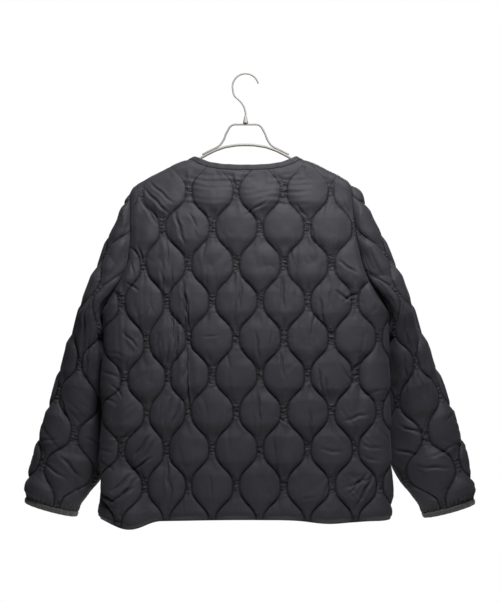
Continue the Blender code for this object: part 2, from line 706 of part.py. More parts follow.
def fold_points(face, sides):
    """Extra points along the narrow folds of the body."""
    points = []
    for fold in FOLDS:
        if fold.face != face or fold.half_width > 0.030 or not any(fold.across * side > 0 for side in sides):
            continue
        for along in np.linspace(-0.75, 0.75, 9) * fold.half_length:
            middle = fold.across + fold.slant * along
            points += [(middle + offset * fold.half_width, fold.height + along) for offset in (-0.62, 0, 0.62)]
    return points


def shoulder_lines(sides):
    """Rows of points along the shoulders, where the body's cloth turns over."""
    across = np.arange(0.114, 0.232, 0.0165)
    return [np.stack([side * across, shoulder_cloth(across) + shift], 1)
            for side in sides for shift in (0.0065, 0.0, -0.0075, -0.0175)]


def side_points(sides):
    """Extra points where the body's cloth turns round the sides."""
    points = []
    for side in sides:
        for height in np.linspace(-0.868, UNDERARM_HEIGHT - 0.0125, 18):
            seam = float(side_seam_across(height))
            points += [(side * (seam - inset), height) for inset in (0.010, 0.021, 0.034)]
    return points


# ---------------------------------------------------------------- objects

def material(name, colour, roughness, metallic=0.0):
    """Plain material of one kind of piece."""
    finish = bpy.data.materials.new(name)
    finish.use_nodes = True
    shader = finish.node_tree.nodes["Principled BSDF"]
    shader.inputs["Base Color"].default_value = (*colour, 1.0)
    shader.inputs["Roughness"].default_value = roughness
    shader.inputs["Metallic"].default_value = metallic
    return finish


def add_object(name, vertices, faces, finish):
    """Closed mesh object with its faces turned outwards."""
    mesh = bpy.data.meshes.new(name)
    mesh.from_pydata([tuple(map(float, vertex)) for vertex in vertices], [], faces)
    work = bmesh.new()
    work.from_mesh(mesh)
    bmesh.ops.recalc_face_normals(work, faces=work.faces)
    if work.calc_volume(signed=True) < 0:
        bmesh.ops.reverse_faces(work, faces=work.faces)
    work.to_mesh(mesh)
    work.free()
    mesh.shade_smooth()
    mesh.set_sharp_from_angle(angle=math.radians(32))
    mesh.materials.append(finish)
    thing = bpy.data.objects.new(name, mesh)
    bpy.context.collection.objects.link(thing)
    return thing


def cloth_wall(name, outline, place, normals, thickness, start, lining, finish,
               extra=(), lines=(), partners=None):
    """A quilted panel: raised outer face, plain inner face, and the edge between them.

    Lines are further rows that both faces follow.  Partners pairs the edge points of a
    tube's seam, which become one point.
    """
    partners = partners or {}
    if not partners:
        outline = shrink_path(outline, SEAM_GAP / 2)
    rows, between = quilt_points(outline, start)
    between = with_extra(between, extra, 0.007)
    outer_flat, outer_faces = triangulate(outline, rows + list(lines), between)
    inner_flat, inner_faces = triangulate(outline, list(lines), lining)
    outer = place(outer_flat) + normals(outer_flat) * thickness(outer_flat, outline)[:, None]
    inner = place(inner_flat)
    shift = len(outer)
    faces = list(outer_faces)
    faces += [[corner + shift for corner in reversed(face)] for face in inner_faces]
    count = len(outline)
    for index in range(count):
        after = (index + 1) % count
        if not (index in partners and after in partners):
            faces.append((after, index, index + shift))
            faces.append((after, index + shift, after + shift))
    same = {**partners, **{one + shift: two + shift for one, two in partners.items()}}
    kept = [index for index in range(len(outer) + len(inner)) if same.get(index, index) == index]
    order = {old: new for new, old in enumerate(kept)}
    faces = [[order[same.get(corner, corner)] for corner in face] for face in faces]
    return add_object(name, np.concatenate([outer, inner])[kept], faces, finish)


def loft(name, rings, finish, closed=False):
    """Solid through a row of rings with the same number of points."""
    count = len(rings[0])
    vertices = np.concatenate(rings)
    faces = []
    for index in range(len(rings) if closed else len(rings) - 1):
        here, there = index * count, (index + 1) % len(rings) * count
        for corner in range(count):
            after = (corner + 1) % count
            faces.append((here + corner, here + after, there + after, there + corner))
    if not closed:
        faces.append(tuple(range(count))[::-1])
        faces.append(tuple(range(len(vertices) - count, len(vertices))))
    return add_object(name, vertices, faces, finish)


def turned(name, profile, centre, axis, finish, steps=12):
    """Solid turned round an axis, from radius and distance pairs."""
    axis = np.array(axis) / np.linalg.norm(axis)
    first = np.cross(axis, (1.0, 0.3, 0.2))
    first /= np.linalg.norm(first)
    second = np.cross(axis, first)
    vertices, faces = [], []
    ends = [np.array(centre) + axis * profile[0][1], np.array(centre) + axis * profile[-1][1]]
    for radius, distance in profile[1:-1]:
        for step in range(steps):
            angle = 2 * math.pi * step / steps
            round_way = first * math.cos(angle) + second * math.sin(angle)
            vertices.append(np.array(centre) + axis * distance + radius * round_way)
    levels = len(profile) - 2
    for level in range(levels - 1):
        for step in range(steps):
            after = (step + 1) % steps
            low, high = level * steps, (level + 1) * steps
            faces.append((low + step, low + after, high + after, high + step))
    vertices += ends
    for step in range(steps):
        after = (step + 1) % steps
        faces.append((after, step, len(vertices) - 2))
        faces.append(((levels - 1) * steps + step, (levels - 1) * steps + after, len(vertices) - 1))
    return add_object(name, vertices, faces, finish)


def wire(name, route, radius, finish):
    """Round wire along a route."""
    curve = bpy.data.curves.new(name, "CURVE")
    curve.dimensions = "3D"
    spline = curve.splines.new("POLY")
    spline.points.add(len(route) - 1)
    for point, place in zip(spline.points, route):
        point.co = (*map(float, place), 1.0)
    curve.bevel_depth = radius
    curve.bevel_resolution = 2
    curve.render_resolution_u = 0
    curve.use_fill_caps = True
    curve.materials.append(finish)
    thing = bpy.data.objects.new(name, curve)
    bpy.context.collection.objects.link(thing)
    return thing


# ---------------------------------------------------------------- pieces of the jacket

def body_thickness(points, outline, placket=None):
    """Thickness of a body panel's wall."""
    fade = ease(distance_to_path(points, outline) / EDGE_FADE)
    wall = SEAM_WALL + QUILT_RISE * puff(points, BODY_STITCH_START) * fade
    if placket is not None:
        pressed = ease((np.abs(points[:, 0] - placket) - 0.024) / (PLACKET_FADE - 0.024))
        wall = wall * pressed + PLACKET_WALL * (1 - pressed)
    return wall


def make_back(finish):
    """Whole back, from the neck band to the hem."""
    outline = back_outline()
    extra = side_points((1, -1))
    lining = grid((-0.288, -0.872), (0.288, -0.205), (0.056, 0.056), extra + fold_points(1, (1, -1)))
    cloth_wall("back", outline, lambda flat: body_point(flat, 1),
               lambda flat: outward(lambda points: body_point(points, 1), flat),
               lambda flat, path: near_sleeve(flat, body_thickness(flat, path)),
               BODY_STITCH_START, lining, finish, extra, shoulder_lines((1, -1)))


def make_front(name, side, finish):
    """One front, from the shoulder seam to the hem; the left one lies outside."""
    outline = front_outline(side)
    edge = outline[0, 0]
    low, high = sorted((edge, side * 0.288))
    extra = side_points((side,))
    heights = np.arange(-0.888, -0.320, 0.021)
    lines = [np.stack([np.full_like(heights, edge + side * inset), heights], 1)
             for inset in (0.0242, PLACKET_FADE)]
    lining = grid((low, -0.872), (high, -0.205), (0.056, 0.056), extra + fold_points(-1, (side,)))
    cloth_wall(name, outline, lambda flat: front_point(flat, side),
               lambda flat: -outward(lambda points: front_point(points, side), flat),
               lambda flat, path: near_sleeve(flat, body_thickness(flat, path, edge)),
               BODY_STITCH_START, lining, finish, extra, lines + shoulder_lines((side,))[3:])


def front_point(points, side):
    """Inner face of one front, which lies outside or inside the other where they overlap."""
    place = body_point(points, -1)
    place[:, 1] -= side * OVERLAP_LIFT * (1 - ease((np.abs(points[:, 0]) - OVERLAP) / 0.040))
    return place


def near_sleeve(points, wall):
    """The padding of a body panel is pressed flatter where the sleeve hangs beside it."""
    zone = ease((np.abs(points[:, 0]) - 0.235) / 0.030) * ease((-0.455 - points[:, 1]) / 0.030)
    return SEAM_WALL + (wall - SEAM_WALL) * (1 - 0.45 * zone * ease((points[:, 1] + 0.830) / 0.100))


def make_sleeve(name, side, finish):
    """One sleeve, sewn into its armhole and closed along the underarm seam."""
    outline = sleeve_outline(side)
    low, high = outline.min(axis=0), outline.max(axis=0)
    points = []
    for share in (-0.94, -0.88, -0.81, -0.74, -0.66, -0.58, -0.50, 0.50, 0.58, 0.66, 0.74, 0.81, 0.88, 0.94):
        first = sleeve_down(sleeve_ring(np.array([share]), side)[0])[0]
        downs = [first + run for run in (0.009, 0.020, 0.033, 0.048, 0.066, 0.086, 0.108)]
        points += [(share * sleeve_half_flat(down), down) for down in downs]
    for share in (-0.09, 0.0, 0.09):
        points += [(share * sleeve_half_flat(down), down) for down in (0.020, 0.038, 0.058, 0.080, 0.105)]
    for share in (-0.93, -0.80, -0.1, 0.1, 0.80, 0.93):
        downs = np.linspace(0.37, SLEEVE_END - 0.012, 12)
        points += [(share * sleeve_half_flat(down), down) for down in downs]
    lining = grid(low, high, (0.026, 0.040), points)

    def thickness(points, path):
        fade = ease(distance_to_path(points, path) / EDGE_FADE)
        share = np.abs(points[:, 0]) / sleeve_half_flat(points[:, 1])
        run = points[:, 1] - sleeve_down(sleeve_ring(share * np.sign(points[:, 0]), side)[0])
        fade *= 1 - ease((share - 0.48) / 0.14) * (1 - ease((run - 0.025) / 0.055))
        pressed = 1 - 0.50 * ease((share - 0.55) / 0.20) * ease((points[:, 1] - 0.17) / 0.05)
        valley = bump((share - 0.77) / 0.17) * ease(run / 0.006) * (1 - ease((run - 0.05) / 0.03))
        seam_wall = SEAM_WALL + (PRESSED_WALL - SEAM_WALL) * valley
        return seam_wall + QUILT_RISE * puff(points, SLEEVE_STITCH_START) * fade * pressed

    cloth_wall(name, outline, lambda flat: sleeve_point(flat, side),
               lambda flat: sleeve_outward(flat, side),
               thickness, SLEEVE_STITCH_START, lining, finish, points, partners=sleeve_partners(side))


def make_cuff(name, side, finish):
    """Elastic binding round the end of a sleeve, drawn into small gathers."""
    shares = np.linspace(-1, 1, CUFF_STEPS + 1)[:-1]
    start, end = SLEEVE_END + SEAM_GAP, CUFF_BAND_END
    middle = (start + end) / 2
    profile = ((start, 0.0), (end, 0.0), (end + 0.0012, 0.0014), (end, 0.0030), (middle, 0.0038), (start, 0.0032))
    rings = []
    for index, share in enumerate(shares):
        gather = 0.0011 * (0.5 + 0.5 * math.cos(2 * math.pi * index / 4))
        ring = []
        for down, height in profile:
            flat = np.array([[share * sleeve_half_flat(down), down]])
            lift = height + (gather if height > 0.002 else 0.0)
            ring.append(sleeve_point(flat, side)[0] + sleeve_outward(flat, side)[0] * lift)
        rings.append(np.array(ring))
    loft(name, rings, finish, closed=True)


def make_neck_band(finish):
    """Smooth bound edge of the neck, from one front edge round the back to the other."""
    left = front_neck_points(1)[::-1]
    right = front_neck_points(-1)
    back = back_neck_points()[::-1]
    runs = ((left, 1, -1), (back, 0, 1), (right, -1, -1))
    places, normals = [], []
    for flat, side, face in runs:
        place = (lambda points, side=side: front_point(points, side)) if side else (
            lambda points: body_point(points, 1))
        keep = slice(None) if side else slice(1, -1)
        places.append(place(flat)[keep])
        normals.append((outward(place, flat) * face)[keep])
    places, normals = np.concatenate(places), np.concatenate(normals)
    along = np.gradient(places, axis=0)
    inward = np.cross(normals, along)
    inward /= np.linalg.norm(inward, axis=1)[:, None]
    width, wall = NECK_BAND_WIDTH, NECK_BAND_WALL
    profile = ((SEAM_GAP, 0.0), (width * 0.9, 0.0), (width, wall * 0.25), (width, wall * 0.65),
               (width * 0.86, wall * 0.95), (width * 0.45, wall), (SEAM_GAP, SEAM_WALL))
    rings = [np.array([place + way * reach + normal * height for reach, height in profile])
             for place, way, normal in zip(places, inward, normals)]
    loft("neck_band", rings, finish)


def make_studs(finish):
    """Press-stud caps down the left front, pushed shut."""
    for number, height in enumerate(STUD_HEIGHTS, start=1):
        flat = np.array([[0.0, height]])
        normal = -outward(lambda points: front_point(points, 1), flat)[0]
        centre = front_point(flat, 1)[0] + normal * (PLACKET_WALL + 0.0005)
        turned(f"stud_{number}", STUD_PROFILE, centre, normal, finish)


# ---------------------------------------------------------------- the hanger

def bar_height(across):
    """Height of the middle of the shoulder bar."""
    arch = column(BAR_ARCH, "height", np.abs(across))
    air = BAR_UNDER_NECK + (BAR_UNDER_CLOTH - BAR_UNDER_NECK) * ease((np.abs(across) - 0.108) / 0.017)
    line = column(SHOULDER_LINE, "height", np.abs(across))
    under = line - (BAR_HALF_HEIGHT + air) * np.hypot(1, np.gradient(line, across))
    share = ease((np.abs(across) - 0.086) / 0.014)
    return arch * (1 - share) + under * share


def make_hanger(steel):
    """Wire hook, ferrule, wire frame and the shoulder bar that carries the jacket."""
    angles = np.linspace(HOOK_TIP_ANGLE, HOOK_TURN_END, 22)
    arc = [(-HOOK_RADIUS * math.cos(angle), HOOK_RADIUS * (math.sin(angle) - 1) + HOOK_WIRE) for angle in angles]
    lower = smooth_path([arc[-1], *HOOK_STEM, (0.0, HOOK_STEM_END + 0.004), (0.0, HOOK_STEM_END)], 16)
    wire("hanger_hook", [(x, 0.0, z) for x, z in arc[:-1] + [tuple(point) for point in lower]], HOOK_WIRE, steel)
    turned("hanger_ferrule", [(radius, z) for radius, z in FERRULE_PROFILE], (0, 0, 0), (0, 0, 1), steel)
    corner = FRAME_CORNER
    slope = np.array([FRAME_LEG[-1][0] - FRAME_HALF_TOP, FRAME_LEG[-1][1] - FRAME_TOP])
    slope /= np.linalg.norm(slope)
    foot = np.array(FRAME_FOOT)
    arch = column(BAR_ARCH, "height", foot)
    steep = np.hypot(1, (column(BAR_ARCH, "height", foot + 0.001) - arch) / 0.001)
    above = (BAR_HALF_HEIGHT + FRAME_WIRE + FRAME_SEAT) * steep
    half = [(float(x), float(z)) for x, z in zip(foot, arch + above)] + list(FRAME_LEG)
    for t in np.linspace(0, 1, 7):
        start = np.array([FRAME_HALF_TOP + slope[0] * corner, FRAME_TOP + slope[1] * corner])
        end = np.array([FRAME_HALF_TOP - corner, FRAME_TOP])
        knee = np.array([FRAME_HALF_TOP, FRAME_TOP])
        half.append(tuple((1 - t) ** 2 * start + 2 * t * (1 - t) * knee + t * t * end))
    route = half + [(0.0, FRAME_TOP)] + [(-x, z) for x, z in reversed(half)]
    wire("hanger_frame", [(x, 0.0, z) for x, z in route], FRAME_WIRE, steel)
    across = np.linspace(-BAR_END, BAR_END, 45)
    heights = bar_height(across)
    rings = []
    for index, (x, z) in enumerate(zip(across, heights)):
        before, after = max(index - 1, 0), min(index + 1, len(across) - 1)
        slope = np.array([across[after] - across[before], heights[after] - heights[before]])
        slope /= np.linalg.norm(slope)
        ring = []
        for angle in np.linspace(0, 2 * math.pi, 11)[:-1]:
            rise = BAR_HALF_HEIGHT * math.cos(angle)
            ring.append((x - slope[1] * rise, BAR_HALF_DEPTH * math.sin(angle), z + slope[0] * rise))
        rings.append(np.array(ring))
    loft("hanger_bar", rings, steel)


def main():
    """Build every piece."""
    for thing in list(bpy.data.objects):
        bpy.data.objects.remove(thing, do_unlink=True)
    shell = material("quilted_nylon", (0.055, 0.056, 0.062), 0.62)
    band = material("elastic_binding", (0.045, 0.045, 0.050), 0.70)
    stud = material("painted_metal", (0.030, 0.030, 0.033), 0.35, 0.6)
    steel = material("satin_steel", (0.62, 0.61, 0.60), 0.32, 1.0)
    make_back(shell)
    make_front("front_left", 1, shell)
    make_front("front_right", -1, shell)
    make_sleeve("sleeve_left", 1, shell)
    make_sleeve("sleeve_right", -1, shell)
    make_neck_band(shell)
    make_cuff("cuff_left", 1, band)
    make_cuff("cuff_right", -1, band)
    make_studs(stud)
    make_hanger(steel)


main()
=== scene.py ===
"""A collarless quilted jacket on a slim steel hanger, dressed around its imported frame.

Sizes are in metres.  The origin is the inner crown of the hook, the back faces +Y and the
wearer's left is +X.  Cloth is laid out flat first: "across" and "height" on the body,
"around" and "down" on a sleeve, and then placed in space.
"""

import math
from collections import namedtuple

import bmesh
import bpy
import numpy as np
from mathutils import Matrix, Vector
from mathutils.geometry import delaunay_2d_cdt
from mathutils.kdtree import KDTree


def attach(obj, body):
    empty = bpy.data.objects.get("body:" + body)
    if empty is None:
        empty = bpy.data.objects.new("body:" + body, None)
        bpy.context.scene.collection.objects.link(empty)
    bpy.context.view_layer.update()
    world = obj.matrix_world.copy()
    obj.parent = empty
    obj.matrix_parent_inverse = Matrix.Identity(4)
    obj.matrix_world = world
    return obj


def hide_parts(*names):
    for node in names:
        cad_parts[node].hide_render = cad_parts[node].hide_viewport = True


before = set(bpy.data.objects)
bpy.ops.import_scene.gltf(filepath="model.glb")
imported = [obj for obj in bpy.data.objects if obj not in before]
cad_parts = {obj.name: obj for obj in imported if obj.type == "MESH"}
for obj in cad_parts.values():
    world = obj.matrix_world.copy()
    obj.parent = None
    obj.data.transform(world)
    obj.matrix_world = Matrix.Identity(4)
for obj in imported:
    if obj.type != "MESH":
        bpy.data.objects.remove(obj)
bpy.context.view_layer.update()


# -------------------------------------------------------------------- the back
# One padded panel from the neck band to the hem: charcoal nylon outside, wadding and a plain
# lining, stitched together in rows.  It is sewn to the fronts along the shoulders and the
# sides and to the sleeves along the armholes, and hangs by its shoulders from the bar.

# Its form is the inner face of the cloth.  The jacket hangs flat from its shoulders as a wide,
# shallow tube with a few broad folds; the same tube carries the fronts.
TOP_ROUND = 0.014          # radius with which the cloth turns over the shoulder line
TOP_FALL = 0.120           # distance below the shoulder over which the body opens out
FORWARD_SEAM = 0.013       # the shoulder seam lies this far in front of the shoulder line
HEM_HEIGHT = -0.8870
QUARTER_TURN = math.pi / 2
ROUND_SLACK = QUARTER_TURN - 1         # cloth that a turned corner takes up, per radius

Section = namedtuple("Section", "height half_width side_round crown")
SECTIONS = (
    Section(-0.910, 0.2865, 0.027, 0.010),
    Section(-0.750, 0.2850, 0.028, 0.012),
    Section(-0.600, 0.2830, 0.028, 0.013),
    Section(-0.470, 0.2810, 0.027, 0.012),
    Section(-0.330, 0.2810, 0.026, 0.010),
    Section(-0.140, 0.2810, 0.026, 0.009),
)

ShoulderLine = namedtuple("ShoulderLine", "across height")
SHOULDER_LINE = (
    ShoulderLine(0.000, -0.1500),
    ShoulderLine(0.050, -0.1545),
    ShoulderLine(0.085, -0.1630),
    ShoulderLine(0.105, -0.1700),
    ShoulderLine(0.123, -0.1775),
    ShoulderLine(0.161, -0.1972),
    ShoulderLine(0.199, -0.2172),
    ShoulderLine(0.231, -0.2410),
    ShoulderLine(0.260, -0.2760),
    ShoulderLine(0.300, -0.3400),
)

Fold = namedtuple("Fold", "face across height slant half_width half_length depth")
FOLDS = (                  # broad ridges (+) and troughs (-); face is 1 on the back
    Fold(1, 0.238, -0.885, 0.10, 0.052, 0.110, 0.020),
    Fold(1, 0.112, -0.560, 0.02, 0.016, 0.150, -0.006),
    Fold(1, 0.150, -0.760, -0.25, 0.020, 0.130, -0.005),
    Fold(1, -0.158, -0.880, 0.05, 0.050, 0.120, 0.010),
    Fold(1, -0.225, -0.620, -0.08, 0.018, 0.130, -0.005),
    Fold(1, -0.060, -0.800, 0.06, 0.024, 0.110, -0.004),
    Fold(-1, 0.120, -0.870, -0.05, 0.050, 0.120, 0.010),
    Fold(-1, -0.130, -0.860, 0.08, 0.046, 0.110, 0.009),
    Fold(-1, 0.090, -0.560, 0.10, 0.018, 0.120, -0.005),
    Fold(-1, -0.095, -0.640, -0.08, 0.018, 0.130, -0.005),
)
HemDrop = namedtuple("HemDrop", "face across half_width drop")
HEM_DROPS = (              # the hem hangs lower where a fold reaches it
    HemDrop(1, 0.000, 0.240, -0.0035),
    HemDrop(1, 0.226, 0.062, 0.014),
    HemDrop(1, -0.170, 0.090, 0.004),
    HemDrop(-1, 0.120, 0.060, 0.005),
    HemDrop(-1, -0.130, 0.060, 0.005),
)


def smooth_read(stops, values, at):
    """Cubic reading of values between stops; the end values hold beyond the table."""
    at = np.clip(np.asarray(at, dtype=float), stops[0], stops[-1])
    slopes = np.gradient(values, stops)
    low = np.clip(np.searchsorted(stops, at, side="right") - 1, 0, len(stops) - 2)
    step = stops[low + 1] - stops[low]
    t = (at - stops[low]) / step
    start = values[low] + slopes[low] * step * t
    end = values[low + 1] - slopes[low + 1] * step * (1 - t)
    mix = t * t * (3 - 2 * t)
    return start * (1 - mix) + end * mix


def column(rows, name, at):
    """Value of one named column of a table, read smoothly at values of the first column."""
    key = rows[0]._fields[0]
    pairs = sorted((getattr(row, key), getattr(row, name)) for row in rows)
    stops = np.array([pair[0] for pair in pairs])
    values = np.array([pair[1] for pair in pairs])
    return smooth_read(stops, values, at)


def ease(value):
    """Smooth step from 0 to 1."""
    value = np.clip(value, 0, 1)
    return value * value * (3 - 2 * value)


def bump(value):
    """Soft hill of height 1 at 0 that ends at -1 and 1."""
    return np.where(np.abs(value) < 1, 0.5 + 0.5 * np.cos(np.pi * np.clip(value, -1, 1)), 0.0)


def unit(ways):
    """Each way at length 1."""
    return ways / np.linalg.norm(ways, axis=1)[:, None]


def run_along(points):
    """Distance of each point of a line from its start."""
    return np.concatenate(([0.0], np.cumsum(np.linalg.norm(np.diff(points, axis=0), axis=1))))


def read_along(at, run, line):
    """Points of a line at distances from its start."""
    return np.stack([np.interp(at, run, values) for values in line.T], 1)


def shoulder_cloth(across):
    """Flat-cloth height of the shoulder line."""
    return column(SHOULDER_LINE, "height", np.abs(across)) + ROUND_SLACK * TOP_ROUND


def side_seam_across(height):
    """Flat-cloth distance from the centre line to the side seam."""
    half_width = column(SECTIONS, "half_width", height)
    side_round = column(SECTIONS, "side_round", height)
    return half_width + ROUND_SLACK * side_round


def body_folds(across, height, face):
    """How far the broad folds move the body's cloth outwards."""
    moved = np.zeros_like(across)
    for fold in FOLDS:
        if fold.face == face:
            along = height - fold.height
            offset = across - fold.across - fold.slant * along
            moved += fold.depth * bump(offset / fold.half_width) * bump(along / fold.half_length)
    return moved


def body_point(points, face):
    """Inner face of the body's cloth; face is 1 on the back and -1 on the fronts."""
    across, height = points.T
    half_width = column(SECTIONS, "half_width", height)
    side_round = column(SECTIONS, "side_round", height)
    crown = column(SECTIONS, "crown", height)
    flat = half_width - side_round
    turn = np.maximum(np.abs(across) - flat, 0) / side_round
    x = np.where(turn > 0, flat + side_round * np.sin(turn), np.abs(across))
    line = column(SHOULDER_LINE, "height", x)
    below = line + ROUND_SLACK * TOP_ROUND - height
    roll = np.minimum(np.abs(below) / TOP_ROUND, QUARTER_TURN)
    hang = np.maximum(np.abs(below) - TOP_ROUND * QUARTER_TURN, 0)
    full = side_round + crown
    opened = TOP_ROUND * np.sin(roll) + (full - TOP_ROUND) * (1 - np.exp(-hang / TOP_FALL))
    share = (side_round * np.cos(turn) + crown * (1 - (x / half_width) ** 2)) / full
    depth = opened * share + body_folds(across, height, face) * np.clip(share, 0, 1)
    z = line - TOP_ROUND * (1 - np.cos(roll)) - hang
    return np.stack([np.sign(across) * x, face * np.sign(below) * depth, z], 1)


def outward(place, points, step=0.0004):
    """Unit normals of a surface that place() gives, to the left of across and height."""
    right = place(points + (step, 0)) - place(points - (step, 0))
    up = place(points + (0, step)) - place(points - (0, step))
    return unit(np.cross(up, right))


# Its cut runs along the neck, the shoulder seams, the armholes, the side seams and the hem.
# Each edge is a list of points of the flat cloth, so that two panels that are sewn together
# have the same points along their seam.
SEAM_GAP = 0.0001
Armhole = namedtuple("Armhole", "left right height")
ARMHOLE = (
    Armhole(0.2290, 0.2165, -0.300),
    Armhole(0.2300, 0.2250, -0.350),
    Armhole(0.2405, 0.2385, -0.395),
    Armhole(0.2590, 0.2560, -0.430),
    Armhole(0.2735, 0.2710, -0.452),
    Armhole(0.2850, 0.2835, -0.464),
)
ARMHOLE_TOP = {1: 0.2310, -1: 0.2105}      # where each armhole crosses the shoulder line
UNDERARM_HEIGHT = -0.470
NeckPoint = namedtuple("NeckPoint", "across height")
BACK_NECK = (              # the seam below the neck band, from the centre to the shoulder
    NeckPoint(0.000, -0.1935),
    NeckPoint(0.031, -0.1927),
    NeckPoint(0.060, -0.1898),
    NeckPoint(0.086, -0.1830),
    NeckPoint(0.104, -0.1740),
)
NECK_AT_SHOULDER = 0.1140  # where the neck seam crosses the shoulder line
SHOULDER_SEAM_START = NECK_AT_SHOULDER + 0.0020
ARMHOLE_STEPS = 60
SIDE_SEAM_STEPS = 84
SHOULDER_STEPS = 24
BACK_NECK_POINTS = 81
EDGE_SPACING = 0.005


def smooth_path(points, count):
    """Points at even distances along a smooth curve through the given ones."""
    points = np.asarray(points, dtype=float)
    stops = run_along(points)
    fine = np.linspace(0, stops[-1], 400)
    curve = np.stack([smooth_read(stops, values, fine) for values in points.T], 1)
    lengths = run_along(curve)
    return read_along(np.linspace(0, lengths[-1], count), lengths, curve)


def armhole_half(side):
    """Armhole from the shoulder line to the underarm, as across and height on one side."""
    top = ARMHOLE_TOP[side]
    across = [row.left if side > 0 else row.right for row in ARMHOLE]
    points = [(top, float(shoulder_cloth(np.array([top]))[0]))]
    points += list(zip(across, [row.height for row in ARMHOLE]))
    points.append((float(side_seam_across(UNDERARM_HEIGHT)), UNDERARM_HEIGHT))
    curve = smooth_path(points, 200)
    return curve, run_along(curve)


def armhole_fractions(side):
    """Places along half an armhole that have a point; the fourth is the shoulder seam's end."""
    seam = FORWARD_SEAM / armhole_half(side)[1][-1]
    return np.concatenate(([0.0, seam / 3, seam * 2 / 3], np.linspace(seam, 1.0, ARMHOLE_STEPS)))


def armhole_points(side, fractions, push=0.0):
    """Cloth points of half an armhole, moved away from the body by push."""
    curve, lengths = armhole_half(side)
    at = fractions * lengths[-1]
    tangent = unit(read_along(at, lengths, np.gradient(curve, axis=0)))
    points = read_along(at, lengths, curve) + push * np.stack([-tangent[:, 1], tangent[:, 0]], 1)
    return points * (side, 1)


def side_seam_points(side):
    """Cloth points of a side seam from the underarm down to the hem."""
    heights = np.linspace(UNDERARM_HEIGHT, HEM_HEIGHT, SIDE_SEAM_STEPS + 1)
    return np.stack([side * side_seam_across(heights), heights], 1)


def over_shoulder(points):
    """Cloth points of a front as seen from the back's cloth, which goes on over the shoulder."""
    across, height = points.T
    return np.stack([across, 2 * shoulder_cloth(across) - height], 1)


def shoulder_seam_points(side, face):
    """Cloth points of a shoulder seam from the neck to the armhole."""
    end = armhole_points(side, armhole_fractions(side)[3:4])
    across = np.linspace(SHOULDER_SEAM_START, abs(end[0, 0]), SHOULDER_STEPS + 1)[:-1]
    seam = np.stack([side * across, shoulder_cloth(across) - FORWARD_SEAM], 1)
    seam = np.concatenate([seam, end])
    return over_shoulder(seam) if face > 0 else seam


def back_neck_points():
    """Cloth points of the back's neck seam, from the right shoulder seam to the left one."""
    corner = shoulder_seam_points(1, 1)[0]
    top = shoulder_cloth(np.array([NECK_AT_SHOULDER]))[0]
    half = [(row.across, row.height) for row in BACK_NECK]
    half += [(NECK_AT_SHOULDER, top), tuple(corner)]
    whole = [(-across, height) for across, height in reversed(half[1:])] + half
    return smooth_path(whole, BACK_NECK_POINTS)


def hem_height(across, face):
    """Height of the hem, which drops where a fold reaches it."""
    height = np.full_like(across, HEM_HEIGHT)
    for drop in HEM_DROPS:
        if drop.face == face:
            height -= drop.drop * bump((across - drop.across) / drop.half_width)
    return height


def hem_points(start, end, face):
    """Cloth points of a hem, between two ends that the other edges already have."""
    count = round(abs(end - start) / EDGE_SPACING)
    across = np.linspace(start, end, count + 1)[1:-1]
    return np.stack([across, hem_height(across, face)], 1)


def back_edges():
    """The back's seams as open lines, and its hem; together they close its edge."""
    halves = []
    for side in (1, -1):
        armhole = armhole_points(side, armhole_fractions(side))
        over = over_shoulder(armhole[1:3])[::-1]
        parts = [shoulder_seam_points(side, 1)[1:], over, armhole, side_seam_points(side)[1:]]
        halves.append(np.concatenate(parts))
    edge = side_seam_points(1)[-1, 0]
    hem = hem_points(edge, -edge, 1)
    neck = back_neck_points()
    return [halves[1][::-1], neck, halves[0]], hem


# Its quilting is rows of stitching that swing to and fro, each the mirror of the next, so
# that cells of an ogee shape stand up between them.  The cloth is puckered where two rows
# come close together, and pulled into creases elsewhere.
STITCH_PITCH = 0.0469      # mean distance between two neighbouring rows of stitching
STITCH_SWING = 0.0173      # how far a row swings to each side of its mean line
STITCH_WAVE = 0.1448       # length of one wave, which is the height of one cell
STITCH_STEPS = 56          # mesh points on one wave of a row
LINING_STEPS = STITCH_STEPS // 5      # the same on the plain lining face
MESH_SPACING = 0.0027      # distance between mesh points elsewhere on the outer face
LINING_SPACING = 0.0105
NARROW_GAP = 0.0300        # rows that are closer than this have a closer mesh between them
NARROW_SPACING = 0.0021
POINT_APART = 0.0011       # mesh points are at least this far from a row or a crease
BETWEEN_APART = 0.0014
EDGE_ROOM = 0.0015         # and this far from the panel's edge
LINING_EDGE_ROOM = 0.0045
BACK_STITCH_START = (-0.0049, -0.2370)     # across, height of a narrow neck's left row
STITCH_LEVEL = 0.0030      # outer face above the inner one along a row of stitching
SEAM_LEVEL = 0.0016        # the same at a seam, where the edges turn in
QUILT_RISE = 0.0094
LINING_DIP = 0.0012        # how far the lining face is drawn in along a row
EDGE_FADE = 0.018          # width over which a panel thins out towards its seams
PUCKER = 0.0015            # height of the small puckers in a neck between two rows
GATHER = 0.0006            # height of the fine gathers along a row
NECK_RAYS = 0.0030         # depth of the short folds that spread from a neck
CRUMPLE = 0.0019           # depth of the chance wrinkles in a cell
STITCH_UNEVEN = 0.0009     # how far a row strays from its true line
FAINT = 0.0016             # how much the painted shade along a row fades where the cloth is taut

Drift = namedtuple("Drift", "across height half_width half_height aside up")
BACK_DRIFTS = (            # where the weight of the padding pulls the back's rows out of true
    Drift(0.235, -0.600, 0.135, 0.360, -0.0150, -0.0040),
    Drift(0.225, -0.560, 0.110, 0.170, 0.0000, -0.0070),
    Drift(0.205, -0.850, 0.120, 0.120, -0.0050, -0.0010),
    Drift(0.165, -0.300, 0.080, 0.100, 0.0050, 0.0000),
)


